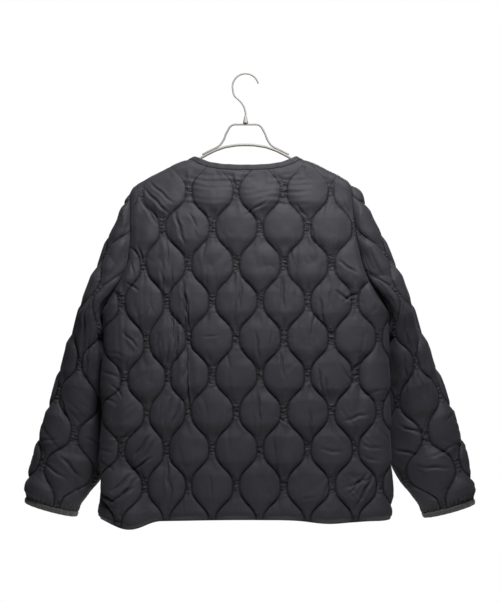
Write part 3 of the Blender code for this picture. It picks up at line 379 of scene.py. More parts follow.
def cloth_noise(across, up, seed):
    """Smooth chance heights from -1 to 1 that change over one step of across and up."""
    low_across, low_up = np.floor(across), np.floor(up)
    s, t = ease(across - low_across), ease(up - low_up)
    corners = []
    for right, above in ((0, 0), (1, 0), (0, 1), (1, 1)):
        tag = (low_across + right) * 12.9898 + (low_up + above) * 78.233 + seed * 37.719
        tag = np.sin(tag) * 4375.85453
        corners.append(2 * (tag - np.floor(tag)) - 1)
    lower = corners[0] * (1 - s) + corners[1] * s
    upper = corners[2] * (1 - s) + corners[3] * s
    return lower * (1 - t) + upper * t


def stitch_row(number, along, start):
    """Where one row of stitching lies, at distances along its length."""
    phase = 2 * math.pi * (along - start[1]) / STITCH_WAVE
    wave = (np.cos(phase) - 0.08 * np.cos(3 * phase)) / 0.92
    swing = np.where(np.asarray(number) % 2 == 0, STITCH_SWING, -STITCH_SWING)
    uneven = STITCH_UNEVEN * cloth_noise(np.asarray(number) * 3.7, along / 0.030, 2)
    return start[0] + number * STITCH_PITCH + swing * wave + uneven


def drifted(points, start, way=1):
    """Points of the true rows moved to where they lie in the back's cloth; way -1 goes back."""
    moved = points
    for _ in range((1 if way > 0 else 4) if start is BACK_STITCH_START else 0):
        shift = np.zeros_like(points)
        for drift in BACK_DRIFTS:
            off = (moved - (drift.across, drift.height)) / (drift.half_width, drift.half_height)
            shift += np.outer(bump(np.hypot(off[:, 0], off[:, 1])), (drift.aside, drift.up))
        moved = points + way * shift
    return moved


def quilt_cell(points, start):
    """Place in the cell for each point: strip number, share across it, and its width."""
    across, height = points.T
    number = np.floor((across - start[0]) / STITCH_PITCH).astype(int)
    strip, share, width = number.copy(), np.zeros(len(points)), np.ones(len(points))
    for shift in (-1, 0, 1):
        left = stitch_row(number + shift, height, start)
        right = stitch_row(number + shift + 1, height, start)
        inside = (across >= left) & (across < right)
        strip = np.where(inside, number + shift, strip)
        width = np.where(inside, right - left, width)
        share = np.where(inside, (across - left) / (right - left), share)
    return strip, share, width


def puff(points, start):
    """Share of the full rise at each point: 0 on the stitching, most in mid-cell."""
    points = drifted(points, start, -1)
    strip, share, width = quilt_cell(points, start)
    dome = np.clip(4 * share * (1 - share), 0, 1) ** 0.58
    phase = (points[:, 1] - start[1]) / STITCH_WAVE + np.where(strip % 2 == 0, 0.0, 0.5)
    uneven = 0.07 * np.sin(12.9 * strip + 7.1 * np.floor(phase))
    sag = 1 - 0.17 * np.sin(2 * math.pi * (phase - 0.5))
    return dome * np.minimum(1, 0.12 + (1 + uneven) * width / 0.080) * sag


def neck_place(points, start):
    """Strip and number of the nearest neck between two rows, and the height above it."""
    strip, share, width = quilt_cell(points, start)
    phase = (points[:, 1] - start[1]) / STITCH_WAVE + np.where(strip % 2 == 0, 0.0, 0.5)
    neck = np.round(phase)
    return strip, neck, (phase - neck) * STITCH_WAVE, share, width


def neck_reach(points, start):
    """How much of a neck's gathering each point has, from 0 to 1."""
    strip, neck, along, share = neck_place(drifted(points, start, -1), start)[:4]
    length = 0.0165 + 0.003 * np.sin((12.9 * strip + 78.2 * neck) * 3.1)
    return np.exp(-((along - 0.002) / length) ** 4) * np.clip(6 * share * (1 - share), 0, 1)


def puckers(points, start):
    """Blotchy puckers in each neck, and short ripples that the stitching gathers."""
    reach = neck_reach(points, start)
    points = drifted(points, start, -1)
    across, height = points.T
    strip, neck, along, share, width = neck_place(points, start)
    tag = 12.9 * strip + 78.2 * neck
    warp = 0.0030 * cloth_noise(across / 0.0050, height / 0.006, 3)
    wave = np.sin(2 * math.pi * (along + warp) / (0.0068 + 0.0010 * np.sin(tag * 2.3)) + tag)
    blotch = cloth_noise(across / 0.0052, height / 0.0046, 5)
    ladder = reach * (0.55 * wave - 0.6 + 1.1 * blotch)
    off = np.minimum(share, 1 - share) * width
    run = (height + 0.35 * across) / 0.0040
    gather = cloth_noise(run, across / 0.030, 11) * np.exp(-((off - 0.0035) / 0.0045) ** 2)
    aside = (share - 0.5) * width
    far = np.hypot(aside, along)
    around = np.arctan2(aside, np.abs(along)) / 0.26 + 5 * np.sin(tag) + 3 * np.sign(along)
    rays = cloth_noise(around, far / 0.030 + 2 * np.sin(tag * 1.7), 17)
    rays = np.minimum(rays + 0.25, 0.45) * ease((far - 0.010) / 0.010)
    rays = rays * (1 - ease((far - 0.026) / 0.030))
    return PUCKER * ladder + GATHER * gather * (1 - reach) + NECK_RAYS * rays * ease(off / 0.006)


def crumple(points, lean, seed):
    """Chance wrinkles along the pull of the cloth, which leans by one angle in radians."""
    across, height = points.T
    along = across * np.sin(lean) + height * np.cos(lean)
    off = across * np.cos(lean) - height * np.sin(lean)
    off = off + 0.004 * cloth_noise(across / 0.03, height / 0.04, seed)
    folds = np.zeros(len(points))
    for width, length, depth in ((0.022, 0.085, 1.0), (0.012, 0.050, 0.7)):
        ridge = 1 - np.abs(cloth_noise(off / width, along / length, seed + 40 * width))
        patch = cloth_noise(across / 0.06, height / 0.07, seed + 900 * width)
        folds -= depth * np.maximum(ridge - 0.45, 0) ** 2 * 3.3 * ease(0.4 + patch)
    soft = cloth_noise(across / 0.016, height / 0.020, seed + 7)
    return CRUMPLE * (folds + 0.30 * soft)


def distance_to_lines(points, lines):
    """Distance of each point to open lines in the plane."""
    nearest = np.full(len(points), np.inf)
    for line in lines:
        for start, end in zip(line[:-1], line[1:]):
            along = end - start
            t = np.clip((points - start) @ along / max(along @ along, 1e-12), 0, 1)
            gap = points - (start + t[:, None] * along)
            nearest = np.minimum(nearest, np.hypot(gap[:, 0], gap[:, 1]))
    return nearest


Crease = namedtuple("Crease", "across height angle half_length half_width depth")


def creases(points, table):
    """Depth of the listed creases: a trough with the pushed-up cloth beside it."""
    depth = np.zeros(len(points))
    # "off" counts from the trough in half widths; the pushed-up cloth stands about two off.
    for crease in table:
        turn = math.radians(crease.angle)
        across, up = points[:, 0] - crease.across, points[:, 1] - crease.height
        along = across * math.sin(turn) + up * math.cos(turn)
        off = (across * math.cos(turn) - up * math.sin(turn)) / crease.half_width
        off = off + 0.35 * np.sin(along * 190 + 9 * crease.across)
        near = (np.abs(off) < 4.5) & (np.abs(along) < crease.half_length)
        beside = 0.24 * np.exp(-((np.abs(off[near]) - 2.1) / 1.1) ** 2)
        shape = beside - np.exp(-(off[near] / 0.85) ** 2)
        ends = np.sqrt(bump(along[near] / crease.half_length))
        depth[near] += 1.35 * crease.depth * shape * ends
    return depth


def crease_points(table):
    """Extra mesh points along creases."""
    points = []
    for crease in table:
        turn = math.radians(crease.angle)
        way = np.array([math.sin(turn), math.cos(turn)])
        off = np.array([math.cos(turn), -math.sin(turn)]) * crease.half_width
        count = max(3, round(crease.half_length * 2 / 0.0030))
        for along in np.linspace(-0.95, 0.95, count) * crease.half_length:
            for reach in (-1.6, -0.8, 0.0, 0.8, 1.6):
                points.append(np.array([crease.across, crease.height]) + way * along + off * reach)
    return np.array(points).reshape(-1, 2)


def inside_path(points, path):
    """True for each point that lies inside a closed path in the plane."""
    across, height = points.T
    inside = np.zeros(len(points), dtype=bool)
    for start, end in zip(path, np.roll(path, -1, axis=0)):
        crosses = (start[1] > height) != (end[1] > height)
        rise = end[1] - start[1] if end[1] != start[1] else 1e-12
        reach = start[0] + (height - start[1]) * (end[0] - start[0]) / rise
        inside ^= crosses & (across < reach)
    return inside


def shrink_path(path, distance):
    """A closed path moved inwards by distance."""
    before = path - np.roll(path, 1, axis=0)
    after = np.roll(path, -1, axis=0) - path
    area = np.sum(path[:, 0] * np.roll(path[:, 1], -1) - np.roll(path[:, 0], -1) * path[:, 1])
    turn = 1.0 if area > 0 else -1.0
    before = unit(turn * np.stack([-before[:, 1], before[:, 0]], 1))
    after = unit(turn * np.stack([-after[:, 1], after[:, 0]], 1))
    middle = before + after
    middle /= np.maximum(np.sum(middle * before, axis=1), 0.4)[:, None]
    return path + distance * middle


def cloth_between(left, along, width, spacing, shift=0.0):
    """Points at even distances between two rows, at every height of the rows."""
    points = []
    for edge, place, gap in zip(left, along, width):
        count = max(2, round(gap / spacing))
        shares = np.arange(1, count) / count
        points.append(np.stack([edge + gap * shares, np.full(count - 1, place + shift)], 1))
    return points


def quilt_points(outline, start, steps, spacing, fine=False):
    """Rows of stitching and points between them that cover a panel, closer in the necks."""
    low, high = outline.min(axis=0) - 0.016, outline.max(axis=0) + 0.016
    step = STITCH_WAVE / steps
    along = start[1] + step * np.arange(math.floor((low[1] - start[1]) / step),
                                        math.ceil((high[1] - start[1]) / step) + 1)
    numbers = range(math.floor((low[0] - start[0]) / STITCH_PITCH) - 1,
                    math.ceil((high[0] - start[0]) / STITCH_PITCH) + 1)
    rows, between = [], []
    for number in numbers:
        left = stitch_row(number, along, start)
        rows.append(drifted(np.stack([left, along], 1), start))
        width = stitch_row(number + 1, along, start) - left
        between += cloth_between(left, along, width, spacing)
        if fine:
            near = width < NARROW_GAP
            between += cloth_between(left[near], along[near], width[near], NARROW_SPACING,
                                     step / 2)
    return rows, drifted(np.concatenate(between), start)


def without_near(points, others, apart):
    """Points without those that stand too near to the others."""
    if not len(others) or not len(points):
        return points
    tree = KDTree(len(others))
    for index, (across, height) in enumerate(others):
        tree.insert((across, height, 0), index)
    tree.balance()
    keep = [tree.find((across, height, 0))[2] > apart for across, height in points]
    return points[np.array(keep)]


def triangulate(outline, rows, loose, room):
    """Triangles inside a closed edge that follow the rows; the edge's points come first."""
    points = [tuple(point) for point in outline]
    closed = [np.concatenate([outline, outline[:1]])]
    edges = []
    for row in rows:
        fits = inside_path(row, outline) & (distance_to_lines(row, closed) > room)
        previous = None
        for point, fit in zip(row, fits):
            if fit:
                points.append(tuple(point))
                if previous is not None:
                    edges.append((previous, len(points) - 1))
            previous = len(points) - 1 if fit else None
    fits = inside_path(loose, outline) & (distance_to_lines(loose, closed) > room)
    points += [tuple(point) for point in loose[fits]]
    loop = list(range(len(outline)))
    found = delaunay_2d_cdt(points, edges, [loop], 1, 1e-7)
    order = {}
    for index, sources in enumerate(found[3]):
        for source in sources:
            order[source] = index
    edge_first = [order[index] for index in loop]
    taken = set(edge_first)
    rest = [index for index in range(len(found[0])) if index not in taken]
    renumber = {old: new for new, old in enumerate(edge_first + rest)}
    flat = np.array([tuple(found[0][index]) for index in edge_first + rest])
    faces = [[renumber[corner] for corner in face] for face in found[2]]
    return flat, faces


def cloth_object(name, vertices, faces, finish, stitch=None, smooth_levels=0, gather=None):
    """Closed mesh with its faces turned outwards, smoothed by subdivision if that is asked."""
    mesh = bpy.data.meshes.new(name)
    mesh.from_pydata([tuple(map(float, vertex)) for vertex in vertices], [], faces)
    work = bmesh.new()
    work.from_mesh(mesh)
    bmesh.ops.recalc_face_normals(work, faces=work.faces)
    if work.calc_volume(signed=True) < 0:
        bmesh.ops.reverse_faces(work, faces=work.faces)
    work.to_mesh(mesh)
    work.free()
    mesh.shade_smooth()
    for label, values in (("stitch", stitch), ("gather", gather)):
        if values is not None:
            carried = mesh.attributes.new(label, "FLOAT", "POINT").data
            carried.foreach_set("value", values.astype(np.float32))
    mesh.materials.append(finish)
    thing = bpy.data.objects.new(name, mesh)
    bpy.context.scene.collection.objects.link(thing)
    if smooth_levels:
        smooth = thing.modifiers.new("smooth", "SUBSURF")
        smooth.levels = smooth.render_levels = smooth_levels
    return thing


def stitch_distance(points, start):
    """Distance of each point of the flat cloth to the nearest row of stitching."""
    points = drifted(points, start, -1)
    share, width = quilt_cell(points, start)[1:]
    sideways = np.minimum(share, 1 - share) * width
    phase = 2 * math.pi * (points[:, 1] - start[1]) / STITCH_WAVE
    slope = 2 * math.pi * STITCH_SWING / STITCH_WAVE * np.sin(phase)
    return sideways / np.sqrt(1 + slope * slope)


# A panel: its closed edge and first neck in flat cloth, and what gives its inner face, the
# way out from it and the height of its outer face.
Panel = namedtuple("Panel", "outline start place normals outer")


def quilted_panel(name, panel, extra, lines, partners=None, faint=None):
    """A padded panel: quilted outer face, flatter lining face, and the edge between them."""
    outline, start, place, normals, outer = panel
    partners = partners or {}
    if not partners:
        outline = shrink_path(outline, SEAM_GAP / 2)
    rows, between = quilt_points(outline, start, STITCH_STEPS, MESH_SPACING, True)
    line_points = np.concatenate(lines)
    row_points = np.concatenate(rows)
    line_points = without_near(line_points, row_points, POINT_APART)
    extra = without_near(without_near(extra, row_points, POINT_APART), line_points, POINT_APART)
    between = without_near(between, np.concatenate([extra, line_points]), BETWEEN_APART)
    loose = np.concatenate([between, extra, line_points])
    outer_flat, outer_faces = triangulate(outline, rows, loose, EDGE_ROOM)
    rows, between = quilt_points(outline, start, LINING_STEPS, LINING_SPACING)
    inner_flat, inner_faces = triangulate(outline, rows, between, LINING_EDGE_ROOM)
    places = place(outer_flat) + normals(outer_flat) * outer(outer_flat)[:, None]
    dip = LINING_DIP * (1 - puff(inner_flat, start))
    inner_places = place(inner_flat) + normals(inner_flat) * dip[:, None]
    shift, count = len(places), len(outline)
    faces = list(outer_faces)
    faces += [[corner + shift for corner in reversed(face)] for face in inner_faces]
    for index in range(count):
        after = (index + 1) % count
        if not (index in partners and after in partners):
            faces.append((after, index, index + shift, after + shift))
    same = {**partners, **{one + shift: two + shift for one, two in partners.items()}}
    total = len(places) + len(inner_places)
    kept = [index for index in range(total) if same.get(index, index) == index]
    order = {old: new for new, old in enumerate(kept)}
    faces = [[order[same.get(corner, corner)] for corner in face] for face in faces]
    # The stitch and gather values carried by the mesh set the painted shade along the rows and in
    # the necks' pits; faint weakens both.
    fainter = faint(outer_flat) if faint else 0.0
    stitch = [stitch_distance(outer_flat, start) + fainter, stitch_distance(inner_flat, start)]
    gather = [neck_reach(outer_flat, start) * (1 - fainter / FAINT), np.zeros(len(inner_flat))]
    vertices = np.concatenate([places, inner_places])[kept]
    return cloth_object(name, vertices, faces, nylon, np.concatenate(stitch)[kept],
                        gather=np.concatenate(gather)[kept])


# Its shell is a tightly woven, slightly crisp nylon taffeta in charcoal black.  It has a soft
# sheen and fine wrinkles, with painted shade along the rows of stitching and in puckered necks.


def new_finish(name, surface):
    """New material with the values of its surface; gives its nodes and its own coordinates too."""
    finish = bpy.data.materials.new(name)
    finish.use_nodes = True
    tree = finish.node_tree
    shader = tree.nodes["Principled BSDF"]
    for label, value in surface.items():
        shader.inputs[label].default_value = value
    return finish, tree, shader, tree.nodes.new("ShaderNodeTexCoord").outputs["Object"]


def mottle(tree, place, scale, **values):
    """Chance light and dark, of one scale."""
    noise = tree.nodes.new("ShaderNodeTexNoise")
    noise.inputs["Scale"].default_value = scale
    for label, value in values.items():
        noise.inputs[label].default_value = value
    tree.links.new(place, noise.inputs["Vector"])
    return noise.outputs["Fac"]


def blend(tree, share, *colours):
    """Mix of two colours, each given as three numbers or as what another node gives."""
    mix = tree.nodes.new("ShaderNodeMix")
    mix.data_type = "RGBA"
    tree.links.new(share, mix.inputs["Factor"])
    for label, colour in zip("AB", colours):
        if isinstance(colour, tuple):
            mix.inputs[label].default_value = (*colour, 1)
        else:
            tree.links.new(colour, mix.inputs[label])
    return mix.outputs["Result"]


def level(tree, value, stops, levels, way="LINEAR"):
    """A value read from one range into another."""
    step = tree.nodes.new("ShaderNodeMapRange")
    step.interpolation_type = way
    for label, number in zip(("From Min", "From Max", "To Min", "To Max"), (*stops, *levels)):
        step.inputs[label].default_value = number
    tree.links.new(value, step.inputs["Value"])
    return step.outputs["Result"]


def product(tree, *values):
    """Two values multiplied."""
    times = tree.nodes.new("ShaderNodeMath")
    times.operation = "MULTIPLY"
    for index, value in enumerate(values):
        tree.links.new(value, times.inputs[index])
    return times.outputs["Value"]


def relief(tree, height, strength, distance, under=None, sunk=False):
    """Fine relief of the surface, on top of what is under it."""
    raised = tree.nodes.new("ShaderNodeBump")
    raised.invert = sunk
    raised.inputs["Strength"].default_value = strength
    raised.inputs["Distance"].default_value = distance
    tree.links.new(height, raised.inputs["Height"])
    if under is not None:
        tree.links.new(under, raised.inputs["Normal"])
    return raised.outputs["Normal"]


def carried_value(tree, label):
    """A value that the mesh carries from point to point."""
    carried = tree.nodes.new("ShaderNodeAttribute")
    carried.attribute_name = label
    return carried.outputs["Fac"]


def weave(tree, place, scale):
    """Two sets of fine threads that cross each other."""
    sets = []
    for direction in "XZ":
        wave = tree.nodes.new("ShaderNodeTexWave")
        wave.bands_direction = direction
        wave.inputs["Scale"].default_value = scale
        wave.inputs["Distortion"].default_value = 0.4
        tree.links.new(place, wave.inputs["Vector"])
        sets.append(wave.outputs["Fac"])
    return product(tree, *sets)


def nylon_cloth(name, colour, wrinkle):
    """Procedural taffeta: weave, fine wrinkles, painted shade along the stitching and in the
    necks' pits.
    """
    darker = {share: tuple(value * share for value in colour) for share in (0.86, 0.16, 0.22)}
    lighter = (colour[0] * 1.14, colour[1] * 1.12, colour[2] * 1.10)
    finish, tree, shader, place = new_finish(name, {
        "Roughness": 0.66, "Specular IOR Level": 0.18, "Sheen Weight": 0.04,
        "Sheen Roughness": 0.45, "Sheen Tint": (0.80, 0.80, 0.90, 1)})
    tone = blend(tree, mottle(tree, place, 9.0, Detail=3.0), darker[0.86], lighter)
    stitch = carried_value(tree, "stitch")
    # Painted shade: the colour falls to about a sixth along each row of stitching, for the shade
    # in the valley between two cells.
    pressed = level(tree, stitch, (0.0005, 0.0030), (0.02, 1.0), "SMOOTHSTEP")
    shade = blend(tree, pressed, darker[0.16], tone)
    # Painted shade: dark blotches in the gathered necks, for the shade in the pits of their
    # crinkles; the same mask sinks those pits by bump.
    blotch = mottle(tree, place, 250.0, Detail=1.5, Distortion=0.5)
    pits = level(tree, blotch, (0.40, 0.56), (0.88, 0.0), "SMOOTHSTEP")
    gathered = product(tree, pits, carried_value(tree, "gather"))
    pit_shaded = blend(tree, gathered, shade, darker[0.22])
    tree.links.new(pit_shaded, shader.inputs["Base Color"])
    crinkle = relief(tree, gathered, 0.8, 0.0012, sunk=True)
    fine = mottle(tree, place, 75.0, Detail=5.0, Roughness=0.55, Distortion=0.6)
    wrinkles = relief(tree, fine, wrinkle, 0.0016, crinkle)
    threads = relief(tree, weave(tree, place, 620.0), 0.10, 0.0002, wrinkles)
    tree.links.new(threads, shader.inputs["Normal"])
    return finish


CHARCOAL = (0.0205, 0.0203, 0.0250)
nylon = nylon_cloth("charcoal_nylon", CHARCOAL, 0.35)

# Weight hanging from the shoulders pulls long upright creases into the back's middle and
# slanting ones into its lower corners.
BACK_CREASES = (
    Crease(-0.172, -0.225, -23, 0.021, 0.0024, 0.0014),
    Crease(0.166, -0.240, 48, 0.035, 0.0024, 0.0020),
    Crease(0.177, -0.256, 44, 0.039, 0.0026, 0.0026),
    Crease(-0.158, -0.264, -24, 0.025, 0.0024, 0.0016),
    Crease(-0.200, -0.268, 23, 0.021, 0.0022, 0.0016),
    Crease(-0.023, -0.269, -59, 0.031, 0.0024, 0.0018),
    Crease(-0.109, -0.275, 42, 0.021, 0.0024, 0.0016),
    Crease(0.191, -0.277, 33, 0.040, 0.0026, 0.0024),
    Crease(0.103, -0.294, 29, 0.018, 0.0022, 0.0014),
    Crease(0.130, -0.309, 16, 0.039, 0.0028, 0.0030),
    Crease(-0.216, -0.315, 40, 0.014, 0.0024, 0.0016),
    Crease(-0.134, -0.329, 12, 0.030, 0.0024, 0.0018),
    Crease(0.081, -0.347, -8, 0.028, 0.0024, 0.0010),
    Crease(-0.089, -0.354, 5, 0.028, 0.0024, 0.0010),
    Crease(0.154, -0.356, 4, 0.034, 0.0024, 0.0018),
    Crease(0.206, -0.362, 16, 0.020, 0.0022, 0.0022),
    Crease(-0.200, -0.386, 54, 0.023, 0.0024, 0.0022),
    Crease(0.222, -0.393, 10, 0.023, 0.0022, 0.0018),
    Crease(0.163, -0.415, 2, 0.034, 0.0026, 0.0022),
    Crease(0.145, -0.415, -4, 0.034, 0.0024, 0.0020),
    Crease(0.222, -0.425, 56, 0.017, 0.0024, 0.0020),
    Crease(-0.072, -0.438, 3, 0.035, 0.0024, 0.0018),
    Crease(0.010, -0.441, -5, 0.036, 0.0026, 0.0024),
    Crease(-0.166, -0.445, -6, 0.024, 0.0024, 0.0016),
    Crease(-0.194, -0.445, 58, 0.025, 0.0026, 0.0026),
    Crease(-0.206, -0.445, -61, 0.018, 0.0026, 0.0026),
    Crease(0.118, -0.455, 8, 0.046, 0.0030, 0.0046),
    Crease(0.022, -0.472, -8, 0.028, 0.0024, 0.0014),
    Crease(0.121, -0.474, -1, 0.034, 0.0024, 0.0030),
    Crease(-0.149, -0.476, 7, 0.032, 0.0026, 0.0030),
    Crease(0.198, -0.480, -36, 0.023, 0.0024, 0.0016),
    Crease(0.111, -0.480, 1, 0.036, 0.0022, 0.0026),
    Crease(-0.133, -0.496, -10, 0.028, 0.0026, 0.0020),
    Crease(0.143, -0.502, 2, 0.030, 0.0026, 0.0026),
    Crease(0.067, -0.522, -81, 0.019, 0.0022, 0.0007),
    Crease(0.225, -0.530, 45, 0.025, 0.0026, 0.0018),
    Crease(-0.050, -0.531, -5, 0.028, 0.0024, 0.0012),
    Crease(0.135, -0.535, -3, 0.047, 0.0028, 0.0040),
    Crease(0.176, -0.537, -27, 0.024, 0.0024, 0.0016),
    Crease(-0.023, -0.541, 6, 0.030, 0.0024, 0.0022),
    Crease(0.153, -0.555, -11, 0.032, 0.0026, 0.0022),
    Crease(0.255, -0.557, 76, 0.022, 0.0030, 0.0013),
    Crease(0.034, -0.567, 16, 0.020, 0.0024, 0.0012),
    Crease(-0.071, -0.579, 8, 0.028, 0.0024, 0.0022),
    Crease(-0.216, -0.583, -48, 0.021, 0.0028, 0.0024),
    Crease(0.122, -0.590, -3, 0.032, 0.0024, 0.0024),
    Crease(0.264, -0.598, 65, 0.020, 0.0030, 0.0024),
    Crease(-0.198, -0.598, 34, 0.027, 0.0026, 0.0020),
    Crease(0.115, -0.600, 1, 0.057, 0.0030, 0.0048),
    Crease(-0.146, -0.612, 9, 0.030, 0.0026, 0.0026),
    Crease(-0.158, -0.624, 6, 0.026, 0.0024, 0.0022),
    Crease(0.253, -0.628, 40, 0.021, 0.0026, 0.0024),
    Crease(-0.255, -0.632, -77, 0.024, 0.0030, 0.0014),
    Crease(0.267, -0.649, 63, 0.019, 0.0028, 0.0024),
    Crease(0.111, -0.651, 6, 0.026, 0.0024, 0.0034),
    Crease(-0.261, -0.651, 76, 0.022, 0.0028, 0.0012),
    Crease(-0.025, -0.661, 4, 0.040, 0.0028, 0.0024),
    Crease(0.152, -0.668, -20, 0.034, 0.0028, 0.0024),
    Crease(0.135, -0.674, -22, 0.028, 0.0030, 0.0036),
    Crease(0.261, -0.681, -36, 0.023, 0.0026, 0.0024),
    Crease(-0.216, -0.681, -75, 0.029, 0.0032, 0.0019),
    Crease(-0.073, -0.687, 61, 0.018, 0.0022, 0.0014),
    Crease(-0.127, -0.699, 3, 0.041, 0.0028, 0.0026),
    Crease(-0.272, -0.718, 34, 0.020, 0.0026, 0.0020),
    Crease(0.248, -0.721, -87, 0.025, 0.0032, 0.0020),
    Crease(0.241, -0.722, -54, 0.033, 0.0030, 0.0022),
    Crease(0.203, -0.739, -34, 0.029, 0.0028, 0.0040),
    Crease(-0.251, -0.741, 81, 0.026, 0.0032, 0.0018),
    Crease(-0.168, -0.747, 81, 0.024, 0.0032, 0.0014),
    Crease(0.272, -0.750, 76, 0.014, 0.0028, 0.0018),
    Crease(0.192, -0.750, -32, 0.032, 0.0026, 0.0026),
    Crease(-0.247, -0.764, 72, 0.025, 0.0030, 0.0013),
    Crease(0.204, -0.773, -56, 0.027, 0.0028, 0.0044),
    Crease(0.272, -0.777, 51, 0.019, 0.0028, 0.0022),
    Crease(0.151, -0.791, 4, 0.036, 0.0026, 0.0020),
    Crease(-0.265, -0.803, -24, 0.025, 0.0026, 0.0020),
    Crease(-0.221, -0.810, -70, 0.037, 0.0030, 0.0017),
    Crease(0.241, -0.811, -41, 0.027, 0.0028, 0.0038),
    Crease(-0.221, -0.811, -42, 0.030, 0.0026, 0.0022),
    Crease(0.068, -0.816, 5, 0.027, 0.0024, 0.0012),
    Crease(0.228, -0.820, -38, 0.030, 0.0026, 0.0024),
    Crease(-0.159, -0.823, -22, 0.029, 0.0028, 0.0014),
    Crease(0.146, -0.825, -3, 0.026, 0.0026, 0.0026),
    Crease(-0.234, -0.826, -30, 0.039, 0.0030, 0.0040),
    Crease(0.242, -0.835, -53, 0.027, 0.0034, 0.0042),
    Crease(0.267, -0.840, 56, 0.020, 0.0036, 0.0046),
    Crease(-0.123, -0.840, -76, 0.022, 0.0030, 0.0010),
    Crease(0.263, -0.856, 76, 0.022, 0.0032, 0.0014),
)
NECK_RIPPLE = 0.0009       # height of the puckers below the neck band


def neck_ripples(points):
    """Level puckers in the top of the back, below the neck band."""
    across, height = points.T
    below = (-0.192 - 0.6 * across ** 2) - height
    reach = ease(below / 0.010) * (1 - ease((below - 0.045) / 0.045))
    reach = reach * (1 - ease((np.abs(across) - 0.10) / 0.05))
    warp = 0.004 * np.sin(31 * across + 1.0) + 0.0025 * np.sin(74 * across + 2.2)
    wave = np.sin(2 * math.pi * (height + warp) / 0.0125)
    wave = wave + 0.5 * np.sin(2 * math.pi * (height - warp) / 0.021 + 1.3)
    patch = 0.55 + 0.6 * cloth_noise(across / 0.035, height / 0.016, 21)
    return NECK_RIPPLE * reach * patch * wave


HEM_TURN = 0.012           # the hem is turned in and stitched this far up
HEM_SPACING = 0.004        # distance between mesh points along the hem's stitching
HEM_ROWS = (-0.0024, 0.0, 0.0024)      # rows of mesh points on and beside that stitching
HEM_PULL = 0.0008          # depth of the groove along the hem's stitching
HEM_PULL_CORNER = 0.0012   # how much deeper it is in the lower left corner
SEAM_REACH = 0.0045        # distance from a seam at which the cloth dips towards it
BODY_EDGE_RATE = 1.3       # the body thins out over a strip this much narrower than a sleeve
TAUT_END = -0.42           # the cloth is drawn taut above this height and hangs loose below it
LOOSE_HEM = 0.16           # how much fuller the cells are in the lower, looser cloth
SHOULDER_FULLNESS = 0.0030  # extra padding where the cloth turns over the shoulder
PRESSED_ACROSS = 0.235     # a sleeve presses on the body's side from here outwards
PRESSED_TOP = -0.455
PRESSED_BOTTOM = -0.830


def hem_row(start, end, face, rise=0.0):
    """Points of the flat cloth along the stitching above a hem."""
    across = np.linspace(start, end, round(abs(end - start) / HEM_SPACING) + 1)
    return np.stack([across, hem_height(across, face) + HEM_TURN + rise], 1)


def body_outer(points, seams, neck, hem, table, seed, start):
    """Height of a body panel's outer face above its inner face."""
    across, height = points.T
    to_seam = distance_to_lines(points, seams)
    to_neck = distance_to_lines(points, [neck])
    to_hem = distance_to_lines(points, [hem])
    below = np.abs(shoulder_cloth(across) - height)
    fade = ease(np.minimum(to_seam * BODY_EDGE_RATE, to_hem * BODY_EDGE_RATE) / EDGE_FADE)
    # The cells are flatter beside the upper seams, at the shoulders and at the neck.
    flat = 0.45 * (1 - ease((to_seam - 0.012) / 0.030)) * ease((height - TAUT_END) / 0.05)
    taut = 1 - 0.88 * (1 - ease((below - 0.010) / 0.085))
    taut *= (0.40 + 0.60 * ease(to_neck / 0.060)) * (1 - flat)
    taut *= 1 + LOOSE_HEM * ease((TAUT_END - height) / 0.25)
    rise = puff(points, start)
    cloth = STITCH_LEVEL + QUILT_RISE * rise * fade * taut
    fullness = SHOULDER_FULLNESS * (1 - ease((below - 0.012) / 0.050)) * ease(to_seam / 0.012)
    cloth += fullness * (0.55 + 0.45 * ease((to_neck - 0.004) / 0.030))
    cloth += puckers(points, start) * fade * (1 - 0.8 * (1 - ease((below - 0.004) / 0.030)))
    # The wrinkles run upright, but slant in the lower corners.
    leaning = ease((np.abs(across) - 0.15) / 0.06) * ease((-0.52 - height) / 0.12)
    wrinkles = crumple(points, 0.0, seed) * (1 - leaning)
    for side in (1, -1):
        wrinkles += crumple(points, -0.75 * side, seed + side) * leaning * (side * across > 0)
    cloth += wrinkles * np.sqrt(fade * np.clip(rise, 0, 1)) * ease((below - 0.002) / 0.030)
    cloth += creases(points, table) * fade
    dip = (STITCH_LEVEL - SEAM_LEVEL) * (1 - ease(to_seam / SEAM_REACH))
    cloth -= dip * ease(to_neck / 0.0060)
    pull = HEM_PULL + HEM_PULL_CORNER * bump((across - 0.250) / 0.14)
    cloth -= pull * bump((to_hem - HEM_TURN) / 0.0034)
    # Below the underarm the side is pressed by the sleeve that hangs on it.
    pressed = ease((np.abs(across) - PRESSED_ACROSS) / 0.030)
    pressed *= ease((PRESSED_TOP - height) / 0.030)
    pressed *= 0.45 * ease((height - PRESSED_BOTTOM) / 0.100)
    return cloth - np.maximum(cloth - STITCH_LEVEL, 0) * pressed


def fainter_stitch_shade(points):
    """How much fainter the painted shade along the rows, and the necks' pits, are near the
    shoulders, where the cloth is taut.
    """
    across, height = points.T
    below = np.abs(shoulder_cloth(across) - height)
    return FAINT * (1 - ease((below - 0.010) / 0.060))


def shoulder_lines(sides):
    """Rows of points along the shoulders, where the body's cloth turns over."""
    across = np.arange(0.118, 0.232, 0.005)
    shifts = (0.0085, 0.0045, 0.0, -0.0045, -0.0090, -0.0135)
    return [np.stack([side * across, shoulder_cloth(across) + shift], 1)
            for side in sides for shift in shifts]


def hem_rows(start, end, face):
    """The stitching above a hem with a row of mesh points above and below it."""
    return [hem_row(start, end, face, rise) for rise in HEM_ROWS]


back_seams, back_hem = back_edges()
back_outline = np.concatenate(back_seams + [back_hem])
side_seam = side_seam_points(1)[-1]
back_hem_line = np.concatenate([[side_seam], back_hem, [side_seam * (-1, 1)]])


def back_outer(points):
    """Height of the back's outer face above its inner face."""
    cloth = body_outer(points, back_seams, back_seams[1], back_hem_line, BACK_CREASES, 1,
                       BACK_STITCH_START)
    return cloth + neck_ripples(points)


